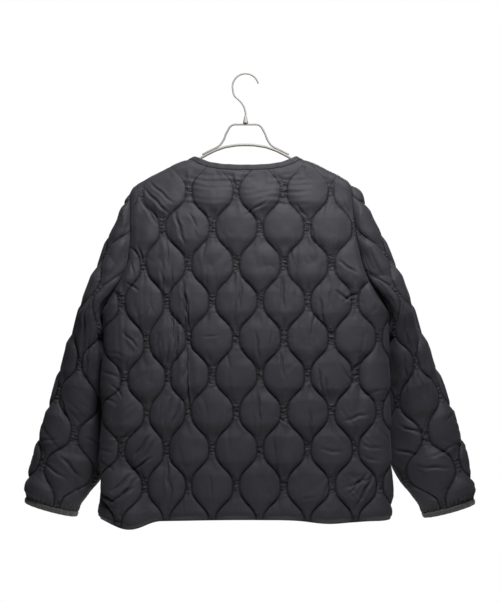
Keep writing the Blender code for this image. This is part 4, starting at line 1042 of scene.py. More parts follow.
back_panel = Panel(
    back_outline, BACK_STITCH_START,
    lambda flat: body_point(flat, 1),
    lambda flat: outward(lambda points: body_point(points, 1), flat),
    back_outer)
back = quilted_panel(
    "back_shell", back_panel, crease_points(BACK_CREASES),
    shoulder_lines((1, -1)) + hem_rows(0.285, -0.285, 1), faint=fainter_stitch_shade)
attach(back, "root")
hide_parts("back")


# -------------------------------------------------------------------- the fronts
# Two padded panels of the same quilted nylon that meet at a row of press studs, with the left
# one on top.  Each is pressed flat along its open edge, where a plain strip is stitched down.

OVERLAP = 0.024            # width over which the left front lies on the right front
OVERLAP_LIFT = 0.0031      # half the distance between the two fronts where they overlap
FRONT_NECK = (
    NeckPoint(0.1170, -0.1900),
    NeckPoint(0.1130, -0.2150),
    NeckPoint(0.0960, -0.2500),
    NeckPoint(0.0680, -0.2900),
    NeckPoint(0.0340, -0.3230),
)
FRONT_NECK_END = -0.3480   # height at which the neck seam meets the front edge
FRONT_NECK_POINTS = 51
FRONT_STITCH_START = (-0.0049, -0.2330)    # across, height of a narrow neck's left row
PLACKET_LEVEL = 0.0046     # outer face of the strip above the inner face
PLACKET_WIDTH = 0.024
PLACKET_PULL = 0.0008      # depth of the groove along the strip's stitching
FRONT_EDGE_ROUND = 0.0012  # how much thinner the cloth is at the very edge
FRONT_CREASES = (
    Crease(0.100, -0.480, 3, 0.052, 0.0028, 0.0024),
    Crease(0.112, -0.560, -2, 0.046, 0.0026, 0.0022),
    Crease(0.150, -0.400, 6, 0.034, 0.0026, 0.0018),
    Crease(0.172, -0.300, 24, 0.034, 0.0026, 0.0018),
    Crease(0.190, -0.340, 16, 0.028, 0.0024, 0.0014),
    Crease(0.070, -0.640, 5, 0.030, 0.0026, 0.0016),
    Crease(0.060, -0.760, -8, 0.026, 0.0024, 0.0014),
    Crease(0.205, -0.620, -24, 0.034, 0.0028, 0.0018),
    Crease(0.240, -0.700, -56, 0.030, 0.0028, 0.0020),
    Crease(0.255, -0.790, -60, 0.030, 0.0030, 0.0020),
    Crease(0.160, -0.800, 48, 0.030, 0.0026, 0.0018),
    Crease(0.250, -0.560, -64, 0.024, 0.0026, 0.0016),
    Crease(0.130, -0.720, -70, 0.020, 0.0026, 0.0010),
)


def front_point(points, side):
    """Inner face of one front, outside or inside the other one where they overlap."""
    place = body_point(points, -1)
    place[:, 1] -= side * OVERLAP_LIFT * (1 - ease((np.abs(points[:, 0]) - OVERLAP) / 0.040))
    return place


def front_neck_points(side):
    """Cloth points of a front's neck seam, from the shoulder seam to the front edge."""
    corner = shoulder_seam_points(1, -1)[0]
    points = [tuple(corner)] + [(row.across, row.height) for row in FRONT_NECK]
    points.append((-OVERLAP / 2, FRONT_NECK_END))
    return smooth_path(points, FRONT_NECK_POINTS) * (side, 1)


def front_edges(side):
    """A front's seams as open lines, and its hem with the open front edge."""
    neck = front_neck_points(side)[::-1]
    front_edge = neck[0, 0]
    seam = side_seam_points(side)
    hem = hem_points(seam[-1, 0], front_edge, -1)
    corner = np.array([[front_edge, hem_height(np.array([front_edge]), -1)[0]]])
    steps = round((FRONT_NECK_END - HEM_HEIGHT) / EDGE_SPACING)
    heights = np.linspace(corner[0, 1], neck[0, 1], steps + 1)[1:-1]
    placket = np.stack([np.full_like(heights, front_edge), heights], 1)
    armhole = armhole_points(side, armhole_fractions(side)[3:])
    seams = [neck, shoulder_seam_points(side, -1)[1:-1], armhole, seam[1:]]
    return seams, np.concatenate([hem, corner, placket])


def mirrored(table, shift):
    """The other front's creases: alike, but not in the same places."""
    return tuple(row._replace(across=-row.across,
                              height=row.height + shift * math.sin(9.0 * index),
                              angle=-row.angle + 6 * math.cos(5.0 * index))
                 for index, row in enumerate(table))


front_stitching = []
for name, side, table in (("left", 1, FRONT_CREASES),
                          ("right", -1, mirrored(FRONT_CREASES, 0.018))):
    seams, hem = front_edges(side)
    edge = hem[-1, 0]
    hem_line = np.concatenate([seams[-1][-1:], hem, seams[0][:1]])

    def front_outer(points, side=side, seams=seams, hem_line=hem_line, edge=edge, table=table):
        """Height of a front's outer face above its inner face."""
        cloth = body_outer(points, seams, seams[0], hem_line, table, 4 + side, FRONT_STITCH_START)
        inset = np.abs(points[:, 0] - edge)
        quilted = ease((inset - PLACKET_WIDTH) / 0.012)
        strip = PLACKET_LEVEL - PLACKET_PULL * bump((inset - PLACKET_WIDTH) / 0.0026)
        cloth = cloth * quilted + strip * (1 - quilted)
        return cloth - FRONT_EDGE_ROUND * (1 - ease(inset / 0.0035))

    heights = np.arange(-0.876, -0.345, 0.005)
    strips = [np.stack([np.full_like(heights, edge + side * inset), heights], 1)
              for inset in (0.0045, 0.010, 0.016, 0.0215, 0.024, 0.0265, 0.031)]
    across = np.arange(0.121, 0.222, 0.005)
    shoulder = [np.stack([side * across, shoulder_cloth(across) - 0.0175], 1)]
    front_panel = Panel(
        np.concatenate(seams + [hem]), FRONT_STITCH_START,
        lambda flat, side=side: front_point(flat, side),
        lambda flat, side=side: -outward(lambda points: front_point(points, side), flat),
        front_outer)
    front = quilted_panel(
        f"front_{name}_shell", front_panel, crease_points(table),
        strips + shoulder + hem_rows(side * 0.285, side * 0.027, -1), faint=fainter_stitch_shade)
    edge_rows = [np.stack([np.full_like(heights, edge + side * inset), heights], 1)
                 for inset in (PLACKET_WIDTH, 0.0030)]
    front_stitching.append((f"front_{name}_thread", front_panel,
                            [hem_row(side * 0.290, edge + side * 0.004, -1)] + edge_rows))
    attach(front, "root")
    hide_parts(f"front_{name}")


# -------------------------------------------------------------------- the sleeves
# Each sleeve is one padded piece of the quilted nylon, sewn into its armhole and closed under
# the arm.  It folds back sharply along the lower armhole and hangs partly in front of the body.

SLEEVE_START = (0.229, -0.2388)            # across, height where "down" is zero
SLEEVE_STITCH_START = (0.0046, 0.1328)     # around, down of a narrow neck's left row
SLEEVE_ANGLE = math.radians(16.0)          # a sleeve hangs this far off the vertical
SLEEVE_END = 0.6450        # distance down to where the cuff is sewn on
SLEEVE_SEAM_STEPS = 96
SLEEVE_BLEND = 0.150       # length over which a sleeve leaves the shape of its armhole
SLEEVE_CLEAR = 0.0175      # distance kept from the body's inner face to a sleeve's
SLEEVE_SWAY = {1: 0.0, -1: 0.016}          # how far each cuff swings out
SLEEVE_TRIM = {1: 0.0065, -1: 0.0035}      # the quilting stands this far out on the upper arm
SLEEVE_HEAD_TRIM = {1: 0.0090, -1: 0.0050}  # the same where the sleeve leaves the shoulder
SLEEVE_DROP = {1: 0.0, -1: 0.0070}         # how much lower each cuff hangs
CUFF_STEPS = 66
SHARPEST_FOLD = math.radians(165)
CUFF_GATHER = 0.0012       # height of the gathers at the end of a sleeve

SleeveSection = namedtuple("SleeveSection", "down outer width half_depth forward lean flat_width")
SLEEVE_SECTIONS = (
    SleeveSection(-0.040, -0.0250, 0.050, 0.012, 0.000, 0.00, 0.450),
    SleeveSection(0.015, -0.0012, 0.062, 0.021, 0.000, 0.00, 0.446),
    SleeveSection(0.060, 0.0092, 0.078, 0.029, 0.000, 0.00, 0.440),
    SleeveSection(0.120, 0.0190, 0.088, 0.036, 0.000, 0.00, 0.430),
    SleeveSection(0.165, 0.0245, 0.084, 0.041, -0.001, 0.00, 0.420),
    SleeveSection(0.200, 0.0285, 0.063, 0.045, -0.004, 0.02, 0.412),
    SleeveSection(0.237, 0.0316, 0.047, 0.049, -0.011, 0.08, 0.404),
    SleeveSection(0.285, 0.0332, 0.066, 0.051, -0.027, 0.18, 0.390),
    SleeveSection(0.335, 0.0343, 0.078, 0.050, -0.036, 0.24, 0.372),
    SleeveSection(0.385, 0.0366, 0.099, 0.047, -0.039, 0.26, 0.354),
    SleeveSection(0.440, 0.0390, 0.121, 0.043, -0.038, 0.26, 0.334),
    SleeveSection(0.500, 0.0400, 0.133, 0.040, -0.036, 0.24, 0.312),
    SleeveSection(0.560, 0.0402, 0.136, 0.036, -0.033, 0.18, 0.290),
    SleeveSection(0.607, 0.0390, 0.117, 0.031, -0.030, 0.12, 0.270),
    SleeveSection(0.645, 0.0350, 0.102, 0.026, -0.028, 0.06, 0.250),
    SleeveSection(0.665, 0.0335, 0.100, 0.025, -0.028, 0.06, 0.248),
)


def ellipse_turns():
    """Table of the angle round an ellipse for each share of its edge, by how flat it is."""
    flatness = np.linspace(0.1, 1.2, 23)
    shares = np.linspace(0, 1, 129)
    angles = np.linspace(0, math.pi, 721)
    turns = []
    for ratio in flatness:
        speed = np.hypot(np.sin(angles), ratio * np.cos(angles))
        run = np.concatenate(([0.0], np.cumsum((speed[1:] + speed[:-1]) / 2)))
        turns.append(np.interp(shares * run[-1], run, angles))
    return flatness, shares, np.array(turns)


FLATNESS, SHARES, TURNS = ellipse_turns()


def section_turn(share, ratio):
    """Angle round an ellipse at a share of its half edge, from 0 to 1."""
    row = (np.clip(ratio, FLATNESS[0], FLATNESS[-1]) - FLATNESS[0]) / (FLATNESS[1] - FLATNESS[0])
    low = np.clip(row.astype(int), 0, len(FLATNESS) - 2)
    place = np.clip(share, 0, 1) * (len(SHARES) - 1)
    left = np.clip(place.astype(int), 0, len(SHARES) - 2)
    across, up = place - left, row - low
    lower = TURNS[low, left] * (1 - across) + TURNS[low, left + 1] * across
    upper = TURNS[low + 1, left] * (1 - across) + TURNS[low + 1, left + 1] * across
    return lower * (1 - up) + upper * up


def soft_lower(first, second, blend):
    """The lower of two values, with the corner between them rounded over blend."""
    overlap = np.clip(blend - np.abs(first - second), 0, None) / blend
    return np.minimum(first, second) - overlap * overlap * blend / 4


def body_limit(x, z):
    """Highest y at which a sleeve's cloth may hang in front of the body."""
    side_round = column(SECTIONS, "side_round", z)
    flat = column(SECTIONS, "half_width", z) - side_round
    reach = side_round + SLEEVE_CLEAR
    crown = column(SECTIONS, "crown", z) * (1 - np.minimum(x / (flat + side_round), 1) ** 2)
    inside = np.clip((x - flat) / reach, 0, 1)
    limit = 3.0 * np.maximum(x - flat - reach, 0) - reach * np.sqrt(1 - inside * inside) - crown
    return limit + 0.12 * (1 - ease((-0.470 - z) / 0.070))


def sleeve_tube(share, down, side):
    """Free form of a hanging sleeve; share runs from -1 to 1 round it, 0 on its outer fold."""
    outer = column(SLEEVE_SECTIONS, "outer", down) + SLEEVE_SWAY[side] * ease((down - 0.20) / 0.30)
    outer = outer - SLEEVE_TRIM[side] * bump((down - 0.15) / 0.24)
    outer = outer - SLEEVE_HEAD_TRIM[side] * bump((down - 0.05) / 0.06)
    width = column(SLEEVE_SECTIONS, "width", down)
    half_depth = column(SLEEVE_SECTIONS, "half_depth", down)
    turn = section_turn(np.abs(share), 2 * half_depth / width)
    reach = -width / 2 * (1 - np.cos(turn))
    y = column(SLEEVE_SECTIONS, "forward", down) + column(SLEEVE_SECTIONS, "lean", down) * reach
    y = y + half_depth * np.sin(turn) * np.sign(share)
    out = outer + reach
    down = down + SLEEVE_DROP[side] * ease((down - 0.30) / 0.32)
    x = SLEEVE_START[0] + down * math.sin(SLEEVE_ANGLE) + out * math.cos(SLEEVE_ANGLE)
    z = SLEEVE_START[1] - down * math.cos(SLEEVE_ANGLE) + out * math.sin(SLEEVE_ANGLE)
    return np.stack([x, soft_lower(y, body_limit(x, z), 0.010), z], 1)


def armhole_frame(share, side):
    """The armhole in space, with the ways out of the body along its cloth and off it."""
    fractions = np.abs(share)
    edge = armhole_points(side, fractions)
    away = (armhole_points(side, fractions, push=0.001) - edge) / 0.001
    places, ways, normals = [], [], []
    for face in (1, -1):
        place = (lambda points, face=face: body_point(points, face))
        places.append(place(edge))
        ways.append((place(edge + away * 0.0004) - place(edge - away * 0.0004)) / 0.0008)
        normals.append(outward(place, edge) * face)
    on_back = (share >= 0)[:, None]
    return [np.where(on_back, *pair) * (side, 1, 1) for pair in (places, ways, normals)]


def sleeve_down(points):
    """Distance down a sleeve of points in space, on the wearer's left."""
    along = (points[:, 0] - SLEEVE_START[0]) * math.sin(SLEEVE_ANGLE)
    return along - (points[:, 2] - SLEEVE_START[1]) * math.cos(SLEEVE_ANGLE)


def hang_from(ring, share, down, side):
    """A sleeve's cloth, which leaves its ring at the armhole for the free form of the tube."""
    start = sleeve_down(ring)
    leaving = 1 - ease((down - start) / SLEEVE_BLEND)
    offset = ring - sleeve_tube(share, start, side)
    return sleeve_tube(share, down, side) + offset * leaving[:, None]


def fold_at_armhole(side):
    """How sharply the sleeve turns back along its armhole seam, for shares from -1 to 1."""
    shares = np.linspace(-1, 1, 161)
    ring, way, normal = armhole_frame(shares, side)
    along = np.gradient(ring, axis=0)
    leave = hang_from(ring, shares, sleeve_down(ring) + 0.004, side) - ring
    own = np.cross(leave, along)
    turned_by = np.arctan2(-np.sum(own * way, axis=1), np.sum(own * normal, axis=1))
    turned_by = np.pad(np.clip(turned_by, 0, SHARPEST_FOLD), 8, mode="edge")
    return shares, np.convolve(turned_by, np.full(17, 1 / 17), mode="valid")


ARMHOLE_FOLDS = {side: fold_at_armhole(side) for side in (1, -1)}


def sleeve_ring(share, side):
    """Where a sleeve's inner face starts, and its normal there: beside the body's edge."""
    ring, way, normal = armhole_frame(share, side)
    turned_by = np.interp(share, *ARMHOLE_FOLDS[side])[:, None]
    cosine, sine = np.cos(turned_by), np.sin(turned_by)
    ring = ring + STITCH_LEVEL * (normal * (1 - cosine) + way * sine)
    return ring, normal * cosine - way * sine


def sleeve_half_flat(down):
    """Half the width of a sleeve's flat cloth."""
    return column(SLEEVE_SECTIONS, "flat_width", down) / 2


def sleeve_share(points):
    """Share of the way round a sleeve, -1 or 1 at the underarm seam."""
    around, down = points.T
    return np.clip(around / sleeve_half_flat(down), -1, 1)


def sleeve_point(points, side):
    """Inner face of a sleeve's cloth, from distances around and down."""
    share = sleeve_share(points)
    ring = sleeve_ring(share, side)[0]
    return hang_from(ring, share, points[:, 1], side) * (side, 1, 1)


def sleeve_outward(points, side):
    """Normals of a sleeve, which along the armhole turn away from the body's edge."""
    own = outward(lambda flat: sleeve_point(flat, side), points) * side
    share = sleeve_share(points)
    ring, seam = sleeve_ring(share, side)
    match = (1 - ease((points[:, 1] - sleeve_down(ring)) / 0.016))[:, None]
    return unit(own * (1 - match) + seam * (side, 1, 1) * match)


def sleeve_outline(side):
    """Closed edge of a sleeve: the cap, the underarm seam's two edges and the cuff."""
    fractions = armhole_fractions(side)
    shares = np.concatenate((-fractions[:0:-1], fractions))
    start = sleeve_down(sleeve_ring(shares, side)[0])
    cap = np.stack([shares * sleeve_half_flat(start), start], 1)
    seam_down = np.linspace(start[-1], SLEEVE_END, SLEEVE_SEAM_STEPS + 1)[1:-1]
    back_seam = np.stack([sleeve_half_flat(seam_down), seam_down], 1)
    cuff_around = np.linspace(1, -1, CUFF_STEPS + 1) * sleeve_half_flat(SLEEVE_END)
    cuff = np.stack([cuff_around, np.full(len(cuff_around), SLEEVE_END)], 1)
    return cap, back_seam, cuff, back_seam[::-1] * (-1, 1)


def sleeve_partners(side):
    """Which edge points of a sleeve's outline meet in its underarm seam."""
    cap = 2 * len(armhole_fractions(side)) - 1
    last = cap + SLEEVE_SEAM_STEPS - 1 + CUFF_STEPS + SLEEVE_SEAM_STEPS
    behind = [cap - 1 + step for step in range(SLEEVE_SEAM_STEPS + 1)]
    ahead = [0] + [last - step for step in range(1, SLEEVE_SEAM_STEPS + 1)]
    return {**dict(zip(ahead, behind)), **{index: index for index in behind}}


SLEEVE_CREASES = {
    1: (
        Crease(0.075, 0.250, 2, 0.050, 0.0030, 0.0026),
        Crease(0.092, 0.330, -3, 0.040, 0.0028, 0.0022),
        Crease(0.050, 0.455, 24, 0.036, 0.0030, 0.0022),
        Crease(0.078, 0.560, 52, 0.034, 0.0030, 0.0026),
        Crease(0.052, 0.575, 70, 0.030, 0.0028, 0.0020),
        Crease(0.095, 0.590, 30, 0.028, 0.0028, 0.0020),
        Crease(0.030, 0.520, -62, 0.026, 0.0028, 0.0016),
        Crease(0.112, 0.500, 80, 0.022, 0.0026, 0.0016),
        Crease(0.035, 0.130, -30, 0.026, 0.0026, 0.0016),
        Crease(-0.070, 0.300, -4, 0.044, 0.0028, 0.0020),
        Crease(-0.090, 0.480, -40, 0.034, 0.0028, 0.0020),
        Crease(-0.060, 0.570, -60, 0.030, 0.0028, 0.0018),
    ),
    -1: (
        Crease(0.086, 0.300, -3, 0.050, 0.0030, 0.0026),
        Crease(0.100, 0.370, 2, 0.044, 0.0028, 0.0028),
        Crease(0.070, 0.395, -12, 0.034, 0.0028, 0.0022),
        Crease(0.048, 0.400, -20, 0.026, 0.0026, 0.0018),
        Crease(0.096, 0.480, -56, 0.030, 0.0028, 0.0022),
        Crease(0.110, 0.520, -66, 0.026, 0.0028, 0.0022),
        Crease(0.070, 0.560, -70, 0.030, 0.0030, 0.0022),
        Crease(0.045, 0.535, 78, 0.026, 0.0028, 0.0016),
        Crease(0.016, 0.470, 60, 0.024, 0.0026, 0.0014),
        Crease(-0.070, 0.310, 6, 0.044, 0.0028, 0.0020),
        Crease(-0.085, 0.470, 44, 0.034, 0.0028, 0.0020),
        Crease(-0.055, 0.560, 62, 0.030, 0.0028, 0.0018),
    ),
}


def cuff_gathers(points):
    """Upright gathers that the elastic draws into the end of a sleeve."""
    around, down = points.T
    share = around / sleeve_half_flat(down)
    near = 1 - ease((SLEEVE_END - down) / 0.026)
    wave = np.sin(2 * math.pi * (share * 17 + 0.35 * np.sin(9 * share)))
    wave = wave + 0.5 * np.sin(2 * math.pi * share * 29 + 2.0)
    return CUFF_GATHER * near * wave


sleeve_stitching = []
for name, side in (("left", 1), ("right", -1)):
    cap, behind, cuff, ahead = sleeve_outline(side)

    def sleeve_outer(points, side=side, cap=cap, cuff=cuff):
        """Height of a sleeve's outer face above its inner face."""
        around, down = points.T
        half_flat = sleeve_half_flat(down)
        share = np.abs(around) / half_flat
        to_cap = distance_to_lines(points, [cap])
        to_seam = np.minimum(to_cap, np.abs(np.abs(around) - half_flat))
        run = down - sleeve_down(sleeve_ring(share * np.sign(around), side)[0])
        fade = ease(np.minimum(to_seam, distance_to_lines(points, [cuff])) / EDGE_FADE)
        fade = fade * (1 - ease((share - 0.48) / 0.14) * (1 - ease((run - 0.025) / 0.055)))
        # The cells are flatter on the inner side, which is pressed against the body.
        pressed = 1 - 0.50 * ease((share - 0.55) / 0.20) * ease((down - 0.17) / 0.05)
        inner = ease((around / half_flat - 0.30) / 0.12) * ease((down - 0.07) / 0.06)
        inner = 1 - 0.6 * inner * (1 - ease((down - 0.26) / 0.10))
        valley = bump((share - 0.77) / 0.17) * ease(run / 0.006) * (1 - ease((run - 0.05) / 0.03))
        cloth = STITCH_LEVEL - 0.0012 * valley
        cloth = cloth + QUILT_RISE * puff(points, SLEEVE_STITCH_START) * fade * pressed * inner
        cloth += puckers(points, SLEEVE_STITCH_START) * fade
        lower = ease((down - 0.36) / 0.10)
        wrinkles = crumple(points, -0.1 * side, 8 + side) * (1 - lower)
        wrinkles = wrinkles + crumple(points, 0.9 * side, 18 + side) * lower
        cloth += wrinkles * np.sqrt(fade) * pressed
        cloth += creases(points, SLEEVE_CREASES[side]) * fade
        cloth -= (STITCH_LEVEL - SEAM_LEVEL) * (1 - ease(to_seam / 0.0040))
        return cloth + cuff_gathers(points)

    tight = []
    for share in (-0.97, -0.93, -0.89, -0.85, -0.81, -0.77, -0.73, -0.69, -0.65, -0.61, -0.57,
                  -0.53):
        for sign in (1, -1):
            first = sleeve_down(sleeve_ring(np.array([share * sign]), side)[0])[0]
            downs = first + np.arange(0.004, 0.110, 0.0045)
            tight.append(np.stack([share * sign * sleeve_half_flat(downs), downs], 1))
    for share in (-0.04, 0.0, 0.04, -0.98, 0.98):
        downs = np.arange(0.030, SLEEVE_END - 0.006, 0.005)
        tight.append(np.stack([share * sleeve_half_flat(downs), downs], 1))
    gathered = np.array([(share * sleeve_half_flat(down), down)
                         for down in (0.641, 0.6365, 0.6315, 0.626)
                         for share in np.linspace(-0.99, 0.99, 132)])
    sleeve_panel = Panel(
        np.concatenate([cap, behind, cuff, ahead]), SLEEVE_STITCH_START,
        lambda flat, side=side: sleeve_point(flat, side),
        lambda flat, side=side: sleeve_outward(flat, side),
        sleeve_outer)
    sleeve = quilted_panel(
        f"sleeve_{name}_shell", sleeve_panel,
        np.concatenate([crease_points(SLEEVE_CREASES[side]), gathered]), tight,
        partners=sleeve_partners(side))
    sleeve_stitching.append((f"sleeve_{name}_thread", sleeve_panel, []))
    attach(sleeve, "root")
    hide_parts(f"sleeve_{name}")


# -------------------------------------------------------------------- the neck band
# A smooth strip of the same nylon binds the edge of the V-neck from one front edge to the
# other.  It is folded over the edge, and sewn down along its lower side.

NECK_BAND_WIDTH = 0.011
NECK_BAND_LEVEL = 0.0041   # thickness of the folded strip
NECK_STITCH_POINT = 10     # the profile point at which the strip is sewn down
NECK_PROFILE = (           # share of the width, share of the height; the first is the seam
    (-0.03, 0.04), (0.50, 0.00), (0.93, 0.00), (1.00, 0.12), (1.03, 0.48), (1.00, 0.82),
    (0.93, 0.96), (0.66, 1.00), (0.34, 1.00), (0.22, 0.99), (0.17, 0.95), (0.12, 0.97),
    (0.06, 0.92), (0.01, 0.76), (-0.03, 0.40),
)


def loft(name, rings, finish, closed=False, smooth_levels=1, stitch=None):
    """Solid through a row of rings with the same number of points."""
    count = len(rings[0])
    faces = []
    for index in range(len(rings) if closed else len(rings) - 1):
        here, there = index * count, (index + 1) % len(rings) * count
        for corner in range(count):
            after = (corner + 1) % count
            faces.append((here + corner, here + after, there + after, there + corner))
    if not closed:
        faces.append(tuple(range(count))[::-1])
        faces.append(tuple(range(len(rings) * count - count, len(rings) * count)))
    return cloth_object(name, np.concatenate(rings), faces, finish, stitch, smooth_levels)


def neck_edge():
    """Points, normals and inward ways all along the neck seam."""
    runs = ((front_neck_points(1)[::-1], 1, -1), (back_neck_points()[::-1], 0, 1),
            (front_neck_points(-1), -1, -1))
    places, normals = [], []
    for flat, side, face in runs:
        place = (lambda points, side=side: front_point(points, side)) if side else (
            lambda points: body_point(points, 1))
        keep = slice(None) if side else slice(1, -1)
        places.append(place(flat)[keep])
        normals.append((outward(place, flat) * face)[keep])
    places, normals = np.concatenate(places), np.concatenate(normals)
    return places, normals, unit(np.cross(normals, np.gradient(places, axis=0)))


neck_places, neck_normals, neck_inward = neck_edge()
neck_run = run_along(neck_places)
neck_rings = []
for place, normal, way, run in zip(neck_places, neck_normals, neck_inward, neck_run):
    ripple = 0.0003 * math.sin(run * 310) + 0.0003 * math.sin(run * 187 + 1.0)
    ring = [place + way * NECK_BAND_WIDTH * reach
            + normal * (NECK_BAND_LEVEL * rise + (ripple if rise > 0.6 else 0))
            for reach, rise in NECK_PROFILE]
    neck_rings.append(np.array(ring))
neck_cloth = nylon_cloth("neck_nylon", CHARCOAL, 0.22)
# The band's stitch values paint a faint shade line where it is sewn down; elsewhere they are too
# large to darken it.
neck_stitch = np.full(len(NECK_PROFILE), 0.006)
neck_stitch[NECK_STITCH_POINT] = 0.0027
neck_band = loft("neck_binding", neck_rings, neck_cloth,
                 stitch=np.tile(neck_stitch, len(neck_rings)))
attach(neck_band, "root")
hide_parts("neck_band")


# -------------------------------------------------------------------- the cuffs
# Narrow ribbed elastic, matt and a shade browner than the nylon.  It is stretched and sewn
# over the end of each sleeve, and pulls back into fine upright ribs.

CUFF_BAND_END = 0.6560     # distance down the sleeve to the edge of the elastic
CUFF_RIBS = 62
RIB_POINTS = 4             # mesh points on one rib
RIB_HEIGHT = 0.00055
CUFF_PROFILE = (           # share of the width, height above the sleeve's inner face
    (0.02, 0.0000), (0.50, -0.0004), (0.98, 0.0000), (1.07, 0.0012), (1.05, 0.0028),
    (0.94, 0.0040), (0.70, 0.0046), (0.40, 0.0046), (0.15, 0.0040), (0.03, 0.0028),
    (0.01, 0.0012),
)


elastic, elastic_tree, surface, place = new_finish("ribbed_elastic", {
    "Roughness": 0.80, "Specular IOR Level": 0.25, "Sheen Weight": 0.30, "Sheen Roughness": 0.50})
grain = mottle(elastic_tree, place, 420.0, Detail=3.0)
elastic_tree.links.new(blend(elastic_tree, grain, (0.024, 0.021, 0.021), (0.052, 0.046, 0.045)),
                       surface.inputs["Base Color"])
elastic_tree.links.new(relief(elastic_tree, grain, 0.35, 0.0005), surface.inputs["Normal"])
for name, side in (("left", 1), ("right", -1)):
    shares = np.linspace(-1, 1, CUFF_RIBS * RIB_POINTS + 1)[:-1]
    layers = []
    for reach, above in CUFF_PROFILE:
        down = SLEEVE_END + 0.0002 + (CUFF_BAND_END - SLEEVE_END) * reach
        flat = np.stack([shares * sleeve_half_flat(down), np.full(len(shares), down)], 1)
        rib = RIB_HEIGHT * np.cos(2 * math.pi * shares / 2 * CUFF_RIBS)
        rib = rib * (1.0 if above > 0.001 else 0.3)
        uneven = 0.0005 * np.sin(2 * math.pi * (shares * 9 + 0.3 * side)) * ease(above / 0.003)
        height = (above + rib + uneven)[:, None]
        layers.append(sleeve_point(flat, side) + sleeve_outward(flat, side) * height)
    rings = [np.array([layer[index] for layer in layers]) for index in range(len(shares))]
    cuff = loft(f"cuff_{name}_elastic", rings, elastic, closed=True)
    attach(cuff, "root")
    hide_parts(f"cuff_{name}")


# -------------------------------------------------------------------- the stitching
# Black polyester thread, slightly glossy, in stitches of about 3 mm.  It runs along every row
# of the quilting, beside the seams, along the neck band and down the front edges.

STITCH_LENGTH = 0.0031
STITCH_SPACE = 0.0009
THREAD_RADIUS = 0.00028
THREAD_CLEAR = 0.00005     # air between a stitch and the cloth under it


def stitches(name, lines, finish):
    """Short, pointed stitches of thread along lines of places and normals."""
    points, faces = [], []
    for places, normals in lines:
        run = run_along(places)
        count = int(run[-1] / (STITCH_LENGTH + STITCH_SPACE))
        if count < 1:
            continue
        starts = np.arange(count) * run[-1] / count
        at = np.stack([starts, starts + STITCH_LENGTH], 1)
        ends = np.stack([np.interp(at, run, places[:, axis]) for axis in range(3)], 2)
        ups = read_along(at.mean(axis=1), run, normals)
        along = ends[:, 1] - ends[:, 0]
        aside = np.cross(along, ups)
        aside *= THREAD_RADIUS / np.maximum(np.linalg.norm(aside, axis=1), 1e-9)[:, None]
        ups = ups * THREAD_RADIUS
        middle = ends.mean(axis=1) + ups * 0.7
        first = len(points)
        block = np.stack([ends[:, 0], middle + aside, middle + ups, middle - aside, middle - ups,
                          ends[:, 1]], 1)
        points.extend(block.reshape(-1, 3))
        for index in range(count):
            base = first + index * 6
            for one, two in ((1, 2), (2, 3), (3, 4), (4, 1)):
                faces.append((base, base + one, base + two))
                faces.append((base + 5, base + two, base + one))
    return cloth_object(name, points, faces, finish)


def quilt_lines(panel, more):
    """The rows of stitching of a panel in space, and its other lines of stitching."""
    outline, start, place, normals, outer = panel
    closed = [np.concatenate([outline, outline[:1]])]
    lines = []
    for row in quilt_points(outline, start, 36, 0.02)[0] + more:
        fits = inside_path(row, outline) & (distance_to_lines(row, closed) > 0.0025)
        breaks = np.flatnonzero(np.diff(fits.astype(int))) + 1
        for part in np.split(np.arange(len(row)), breaks):
            if fits[part[0]] and len(part) > 2:
                flat = row[part]
                normal = normals(flat)
                height = (outer(flat) + THREAD_CLEAR)[:, None]
                lines.append((place(flat) + normal * height, normal))
    return lines


thread, thread_tree, surface, place = new_finish("black_thread", {"Roughness": 0.55})
thread_tree.links.new(blend(thread_tree, mottle(thread_tree, place, 900.0), (0.010, 0.010, 0.011),
                            (0.030, 0.030, 0.033)), surface.inputs["Base Color"])
back_stitching = ("back_thread", back_panel, [hem_row(0.290, -0.290, 1)])
for name, panel, more in [back_stitching] + front_stitching + sleeve_stitching:
    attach(stitches(name, quilt_lines(panel, more), thread), "root")
neck_line = neck_places + neck_inward * NECK_BAND_WIDTH * NECK_PROFILE[NECK_STITCH_POINT][0]
neck_line = neck_line + neck_normals * (NECK_BAND_LEVEL * 0.90 + 0.0001)
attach(stitches("neck_thread", [(neck_line, neck_normals)], thread), "root")
for name, side in (("left", 1), ("right", -1)):
    around = np.linspace(-0.995, 0.995, 200) * sleeve_half_flat(SLEEVE_END + 0.0035)
    flat = np.stack([around, np.full(len(around), SLEEVE_END + 0.0035)], 1)
    normal = sleeve_outward(flat, side)
    line = sleeve_point(flat, side) + normal * 0.0051
    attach(stitches(f"cuff_{name}_thread", [(line, normal)], thread), "root")


# -------------------------------------------------------------------- the press studs
# Five round caps of dark painted metal down the left front.  Each is riveted through the plain
# strip and pushed shut over the right front.

STUD_HEIGHTS = (-0.385, -0.495, -0.605, -0.715, -0.825)
STUD_PROFILE = (           # radius, distance out from the cloth
    (0.0000, 0.0000), (0.0056, 0.0000), (0.0061, 0.0003), (0.0062, 0.0007), (0.0061, 0.0011),
    (0.0056, 0.0015), (0.0051, 0.0016), (0.0049, 0.0014), (0.0046, 0.0014), (0.0040, 0.0018),
    (0.0026, 0.0022), (0.0012, 0.0023), (0.0000, 0.0023),
)


def metal(name, dark, light, roughness, metallic, scale):
    """Painted or satin metal with slight unevenness."""
    finish, tree, shader, place = new_finish(name, {"Metallic": metallic})
    uneven = mottle(tree, place, scale, Detail=4.0)
    gloss = level(tree, uneven, (0.0, 1.0), (roughness - 0.06, roughness + 0.08))
    tree.links.new(blend(tree, uneven, dark, light), shader.inputs["Base Color"])
    tree.links.new(gloss, shader.inputs["Roughness"])
    return finish


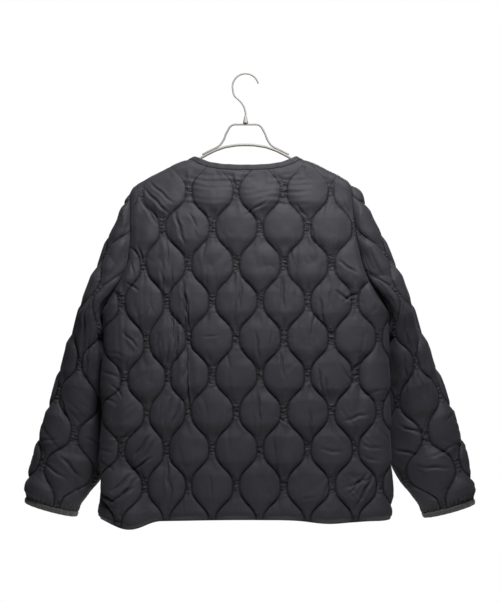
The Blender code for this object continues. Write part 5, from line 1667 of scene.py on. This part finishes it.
def turned(name, profile, centre, axis, finish, steps=32):
    """Solid turned round an axis, from radius and distance pairs."""
    axis = np.array(axis) / np.linalg.norm(axis)
    first = np.cross(axis, (1.0, 0.3, 0.2))
    first /= np.linalg.norm(first)
    second = np.cross(axis, first)
    rings = []
    for radius, distance in profile[1:-1]:
        angles = 2 * math.pi * np.arange(steps) / steps
        ring = np.outer(np.cos(angles), first) + np.outer(np.sin(angles), second)
        rings.append(np.array(centre) + axis * distance + radius * ring)
    return loft(name, rings, finish)


stud_paint = metal("dark_paint", (0.060, 0.060, 0.064), (0.100, 0.100, 0.104), 0.32, 0.7, 160.0)
for number, height in enumerate(STUD_HEIGHTS, start=1):
    flat = np.array([[0.0, height]])
    normal = -outward(lambda points: front_point(points, 1), flat)[0]
    centre = front_point(flat, 1)[0] + normal * (PLACKET_LEVEL + 0.0002)
    stud = turned(f"stud_{number}_cap", STUD_PROFILE, centre, normal, stud_paint)
    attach(stud, "root")
    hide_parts(f"stud_{number}")


# -------------------------------------------------------------------- the hanger
# A slim hanger of satin steel: a bent wire hook, a small turned ferrule, a wire frame soldered
# to the shoulder bar, and the bar, which the cloth hides but for its part in the neck opening.

HOOK_RADIUS = 0.0261       # to the middle of the wire
HOOK_WIRE = 0.00175        # radius of the wire
HOOK_TIP_ANGLE = math.radians(13.7)
HOOK_TURN_END = math.radians(192.0)
HOOK_STEM = ((0.0228, -0.0412), (0.0140, -0.0506), (0.0060, -0.0600), (0.0014, -0.0715))
HOOK_STEM_END = -0.0820
FERRULE_PROFILE = (        # radius, height
    (0.0000, -0.0823), (0.0019, -0.0823), (0.0024, -0.0829), (0.0027, -0.0840), (0.0036, -0.0882),
    (0.0051, -0.0950), (0.0054, -0.0962), (0.0054, -0.0972), (0.0050, -0.0976), (0.0000, -0.0976),
)
FRAME_WIRE = 0.0020        # radius of the wire between ferrule and shoulder bar
FRAME_TOP = -0.0999
FRAME_HALF_TOP = 0.029
FRAME_LEG = ((0.0536, -0.1430), (0.0464, -0.1350), (0.0392, -0.1190))
FRAME_FOOT = (0.0865, 0.0780, 0.0700, 0.0620)      # each foot lies along the top of the bar
FRAME_SEAT = -0.0003       # how far a foot is set off the bar; it is soldered in
FRAME_CORNER = 0.009
BAR_HALF_HEIGHT = 0.0026
BAR_HALF_DEPTH = 0.0036
BAR_END = 0.184
BAR_SIDES = 20
BAR_SQUARE = 0.75          # 1 would give the bar an elliptic section; less is squarer
BAR_UNDER_CLOTH = 0.0010   # air between the bar and the cloth that hangs on it
BAR_UNDER_NECK = 0.0024    # the same beside the neck band
BarPoint = namedtuple("BarPoint", "across height")
BAR_ARCH = (               # the part of the bar that stands in the neck opening
    BarPoint(0.000, -0.1407),
    BarPoint(0.030, -0.1432),
    BarPoint(0.052, -0.1489),
    BarPoint(0.072, -0.1576),
    BarPoint(0.090, -0.1672),
)


def wire(name, route, radius, finish, sides=14):
    """Round wire along a route in the plane of the hanger, with rounded ends."""
    route = np.array([(x, 0.0, z) for x, z in route])
    ways = unit(np.gradient(route, axis=0))
    angles = 2 * math.pi * np.arange(sides) / sides
    rounded = ((0.0, 0.45), (0.12, 0.85), (0.40, 1.0))     # share of the radius: inset, width
    rings = []
    for index, (place, way) in enumerate(zip(route, ways)):
        across = np.cross(way, (0, 1, 0))
        ring = np.outer(np.cos(angles), across) + np.outer(np.sin(angles), (0, 1, 0))
        if index in (0, len(route) - 1):
            inward = way if index == 0 else -way
            for inset, width in rounded if index == 0 else rounded[::-1]:
                rings.append(place + inward * radius * inset + ring * radius * width)
        else:
            rings.append(place + ring * radius)
    return loft(name, rings, finish, smooth_levels=0)


satin_steel = metal("satin_steel", (0.19, 0.181, 0.170), (0.29, 0.277, 0.262), 0.70, 0.55, 240.0)
angles = np.linspace(HOOK_TIP_ANGLE, HOOK_TURN_END, 60)
hook_arc = [(-HOOK_RADIUS * math.cos(angle), HOOK_RADIUS * (math.sin(angle) - 1) + HOOK_WIRE)
            for angle in angles]
hook_stem = smooth_path(
    [hook_arc[-1], *HOOK_STEM, (0.0, HOOK_STEM_END + 0.004), (0.0, HOOK_STEM_END)], 40)
hook_route = hook_arc[:-1] + [tuple(point) for point in hook_stem]
hook = wire("hook_wire", hook_route, HOOK_WIRE, satin_steel)
ferrule = turned("ferrule_collar", FERRULE_PROFILE, (0, 0, 0), (0, 0, 1), satin_steel)

frame_top = np.array([FRAME_HALF_TOP, FRAME_TOP])
slope = np.array(FRAME_LEG[-1]) - frame_top
slope /= np.linalg.norm(slope)
foot = np.array(FRAME_FOOT)
arch = column(BAR_ARCH, "height", foot)
steep = np.hypot(1, (column(BAR_ARCH, "height", foot + 0.001) - arch) / 0.001)
leg = list(zip(foot, arch + (BAR_HALF_HEIGHT + FRAME_WIRE + FRAME_SEAT) * steep)) + list(FRAME_LEG)
leg.append(tuple(frame_top + slope * FRAME_CORNER))
half = [tuple(point) for point in smooth_path(leg, 36)[:-1]]
for t in np.linspace(0, 1, 12):
    start, end = frame_top + slope * FRAME_CORNER, frame_top - (FRAME_CORNER, 0)
    half.append(tuple((1 - t) ** 2 * start + 2 * t * (1 - t) * frame_top + t * t * end))
half += [(x, FRAME_TOP) for x in (0.015, 0.010, 0.005)]
hanger_frame = wire("frame_wire", half + [(0.0, FRAME_TOP)] + [(-x, z) for x, z in reversed(half)],
                    FRAME_WIRE, satin_steel)

bar_across = np.linspace(-BAR_END, BAR_END, 121)
arch = column(BAR_ARCH, "height", np.abs(bar_across))
under_cloth = ease((np.abs(bar_across) - 0.114) / 0.017)
air = BAR_UNDER_NECK + (BAR_UNDER_CLOTH - BAR_UNDER_NECK) * under_cloth
line = column(SHOULDER_LINE, "height", np.abs(bar_across))
under = line - (BAR_HALF_HEIGHT + air) * np.hypot(1, np.gradient(line, bar_across))
share = ease((np.abs(bar_across) - 0.086) / 0.014)
bar_height = arch * (1 - share) + under * share
bar_rings = []
for index, (x, z) in enumerate(zip(bar_across, bar_height)):
    before, after = max(index - 1, 0), min(index + 1, len(bar_across) - 1)
    way = np.array([bar_across[after] - bar_across[before],
                    bar_height[after] - bar_height[before]])
    way /= np.linalg.norm(way)
    ring = []
    for angle in 2 * math.pi * np.arange(BAR_SIDES) / BAR_SIDES:
        rise = BAR_HALF_HEIGHT * math.copysign(abs(math.cos(angle)) ** BAR_SQUARE, math.cos(angle))
        depth = BAR_HALF_DEPTH * math.copysign(abs(math.sin(angle)) ** BAR_SQUARE, math.sin(angle))
        ring.append((x - way[1] * rise, depth, z + way[0] * rise))
    bar_rings.append(np.array(ring))
bar = loft("shoulder_bar", bar_rings, satin_steel, smooth_levels=0)
for piece, node in ((hook, "hanger_hook"), (ferrule, "hanger_ferrule"),
                    (hanger_frame, "hanger_frame"), (bar, "hanger_bar")):
    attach(piece, "root")
    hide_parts(node)


# -------------------------------------------------------------------- the studio
# A pale floor and backdrop, soft light from above and in front, and a level camera that
# looks at the back from two and a half metres.

WORLD_LIGHT = 0.12         # light from all round; the backdrop itself looks white
world = bpy.data.worlds.new("studio")
bpy.context.scene.world = world
world.use_nodes = True
rays = world.node_tree.nodes.new("ShaderNodeLightPath")
backdrop = world.node_tree.nodes["Background"]
backdrop.inputs["Color"].default_value = (1.0, 1.0, 1.0, 1)
strength = level(world.node_tree, rays.outputs["Is Camera Ray"], (0.0, 1.0), (WORLD_LIGHT, 1.0))
world.node_tree.links.new(strength, backdrop.inputs["Strength"])

FLOOR_HEIGHT = -1.25
FLOOR_RADIUS = 0.75
FLOOR_SIDES = 96
floor_mesh = bpy.data.meshes.new("studio_floor")
floor_edge = [(FLOOR_RADIUS * math.cos(turn), FLOOR_RADIUS * math.sin(turn), FLOOR_HEIGHT)
              for turn in np.linspace(0, 2 * math.pi, FLOOR_SIDES + 1)[:-1]]
floor_mesh.from_pydata(floor_edge, [], [tuple(range(FLOOR_SIDES))])
floor_paint = new_finish("pale_floor", {"Base Color": (0.92, 0.92, 0.91, 1), "Roughness": 0.9})[0]
floor_mesh.materials.append(floor_paint)
floor = bpy.data.objects.new("studio_floor", floor_mesh)
bpy.context.scene.collection.objects.link(floor)

SoftLight = namedtuple("SoftLight", "name place target size power gleams")
LIGHTS = (
    SoftLight("back_key", (-0.25, 0.88, 0.71), (0.0, 0.0, -0.42), 0.6, 49, True),
    SoftLight("front_key", (0.3, -0.95, 0.85), (0.0, 0.0, -0.35), 0.9, 44, False),
    SoftLight("front_gleam", (-0.6, -1.2, 0.25), (0.0, 0.0, -0.50), 0.5, 13, True),
)
for light in LIGHTS:
    lamp = bpy.data.lights.new(light.name, "AREA")
    lamp.size = light.size
    lamp.energy = light.power
    holder = bpy.data.objects.new(light.name, lamp)
    bpy.context.scene.collection.objects.link(holder)
    holder.location = light.place
    holder.visible_glossy = light.gleams
    aim = Vector(light.target) - Vector(light.place)
    holder.rotation_euler = aim.to_track_quat("-Z", "Y").to_euler()

camera = bpy.data.objects.new("camera", bpy.data.cameras.new("camera"))
camera.location = (-0.0088, 2.4, -0.4528)
camera.rotation_euler = (math.radians(90), 0, math.radians(180))
camera.data.sensor_width = 36
camera.data.lens = 71.8
bpy.context.scene.collection.objects.link(camera)
bpy.context.scene.camera = camera
bpy.context.scene.view_settings.view_transform = "Standard"
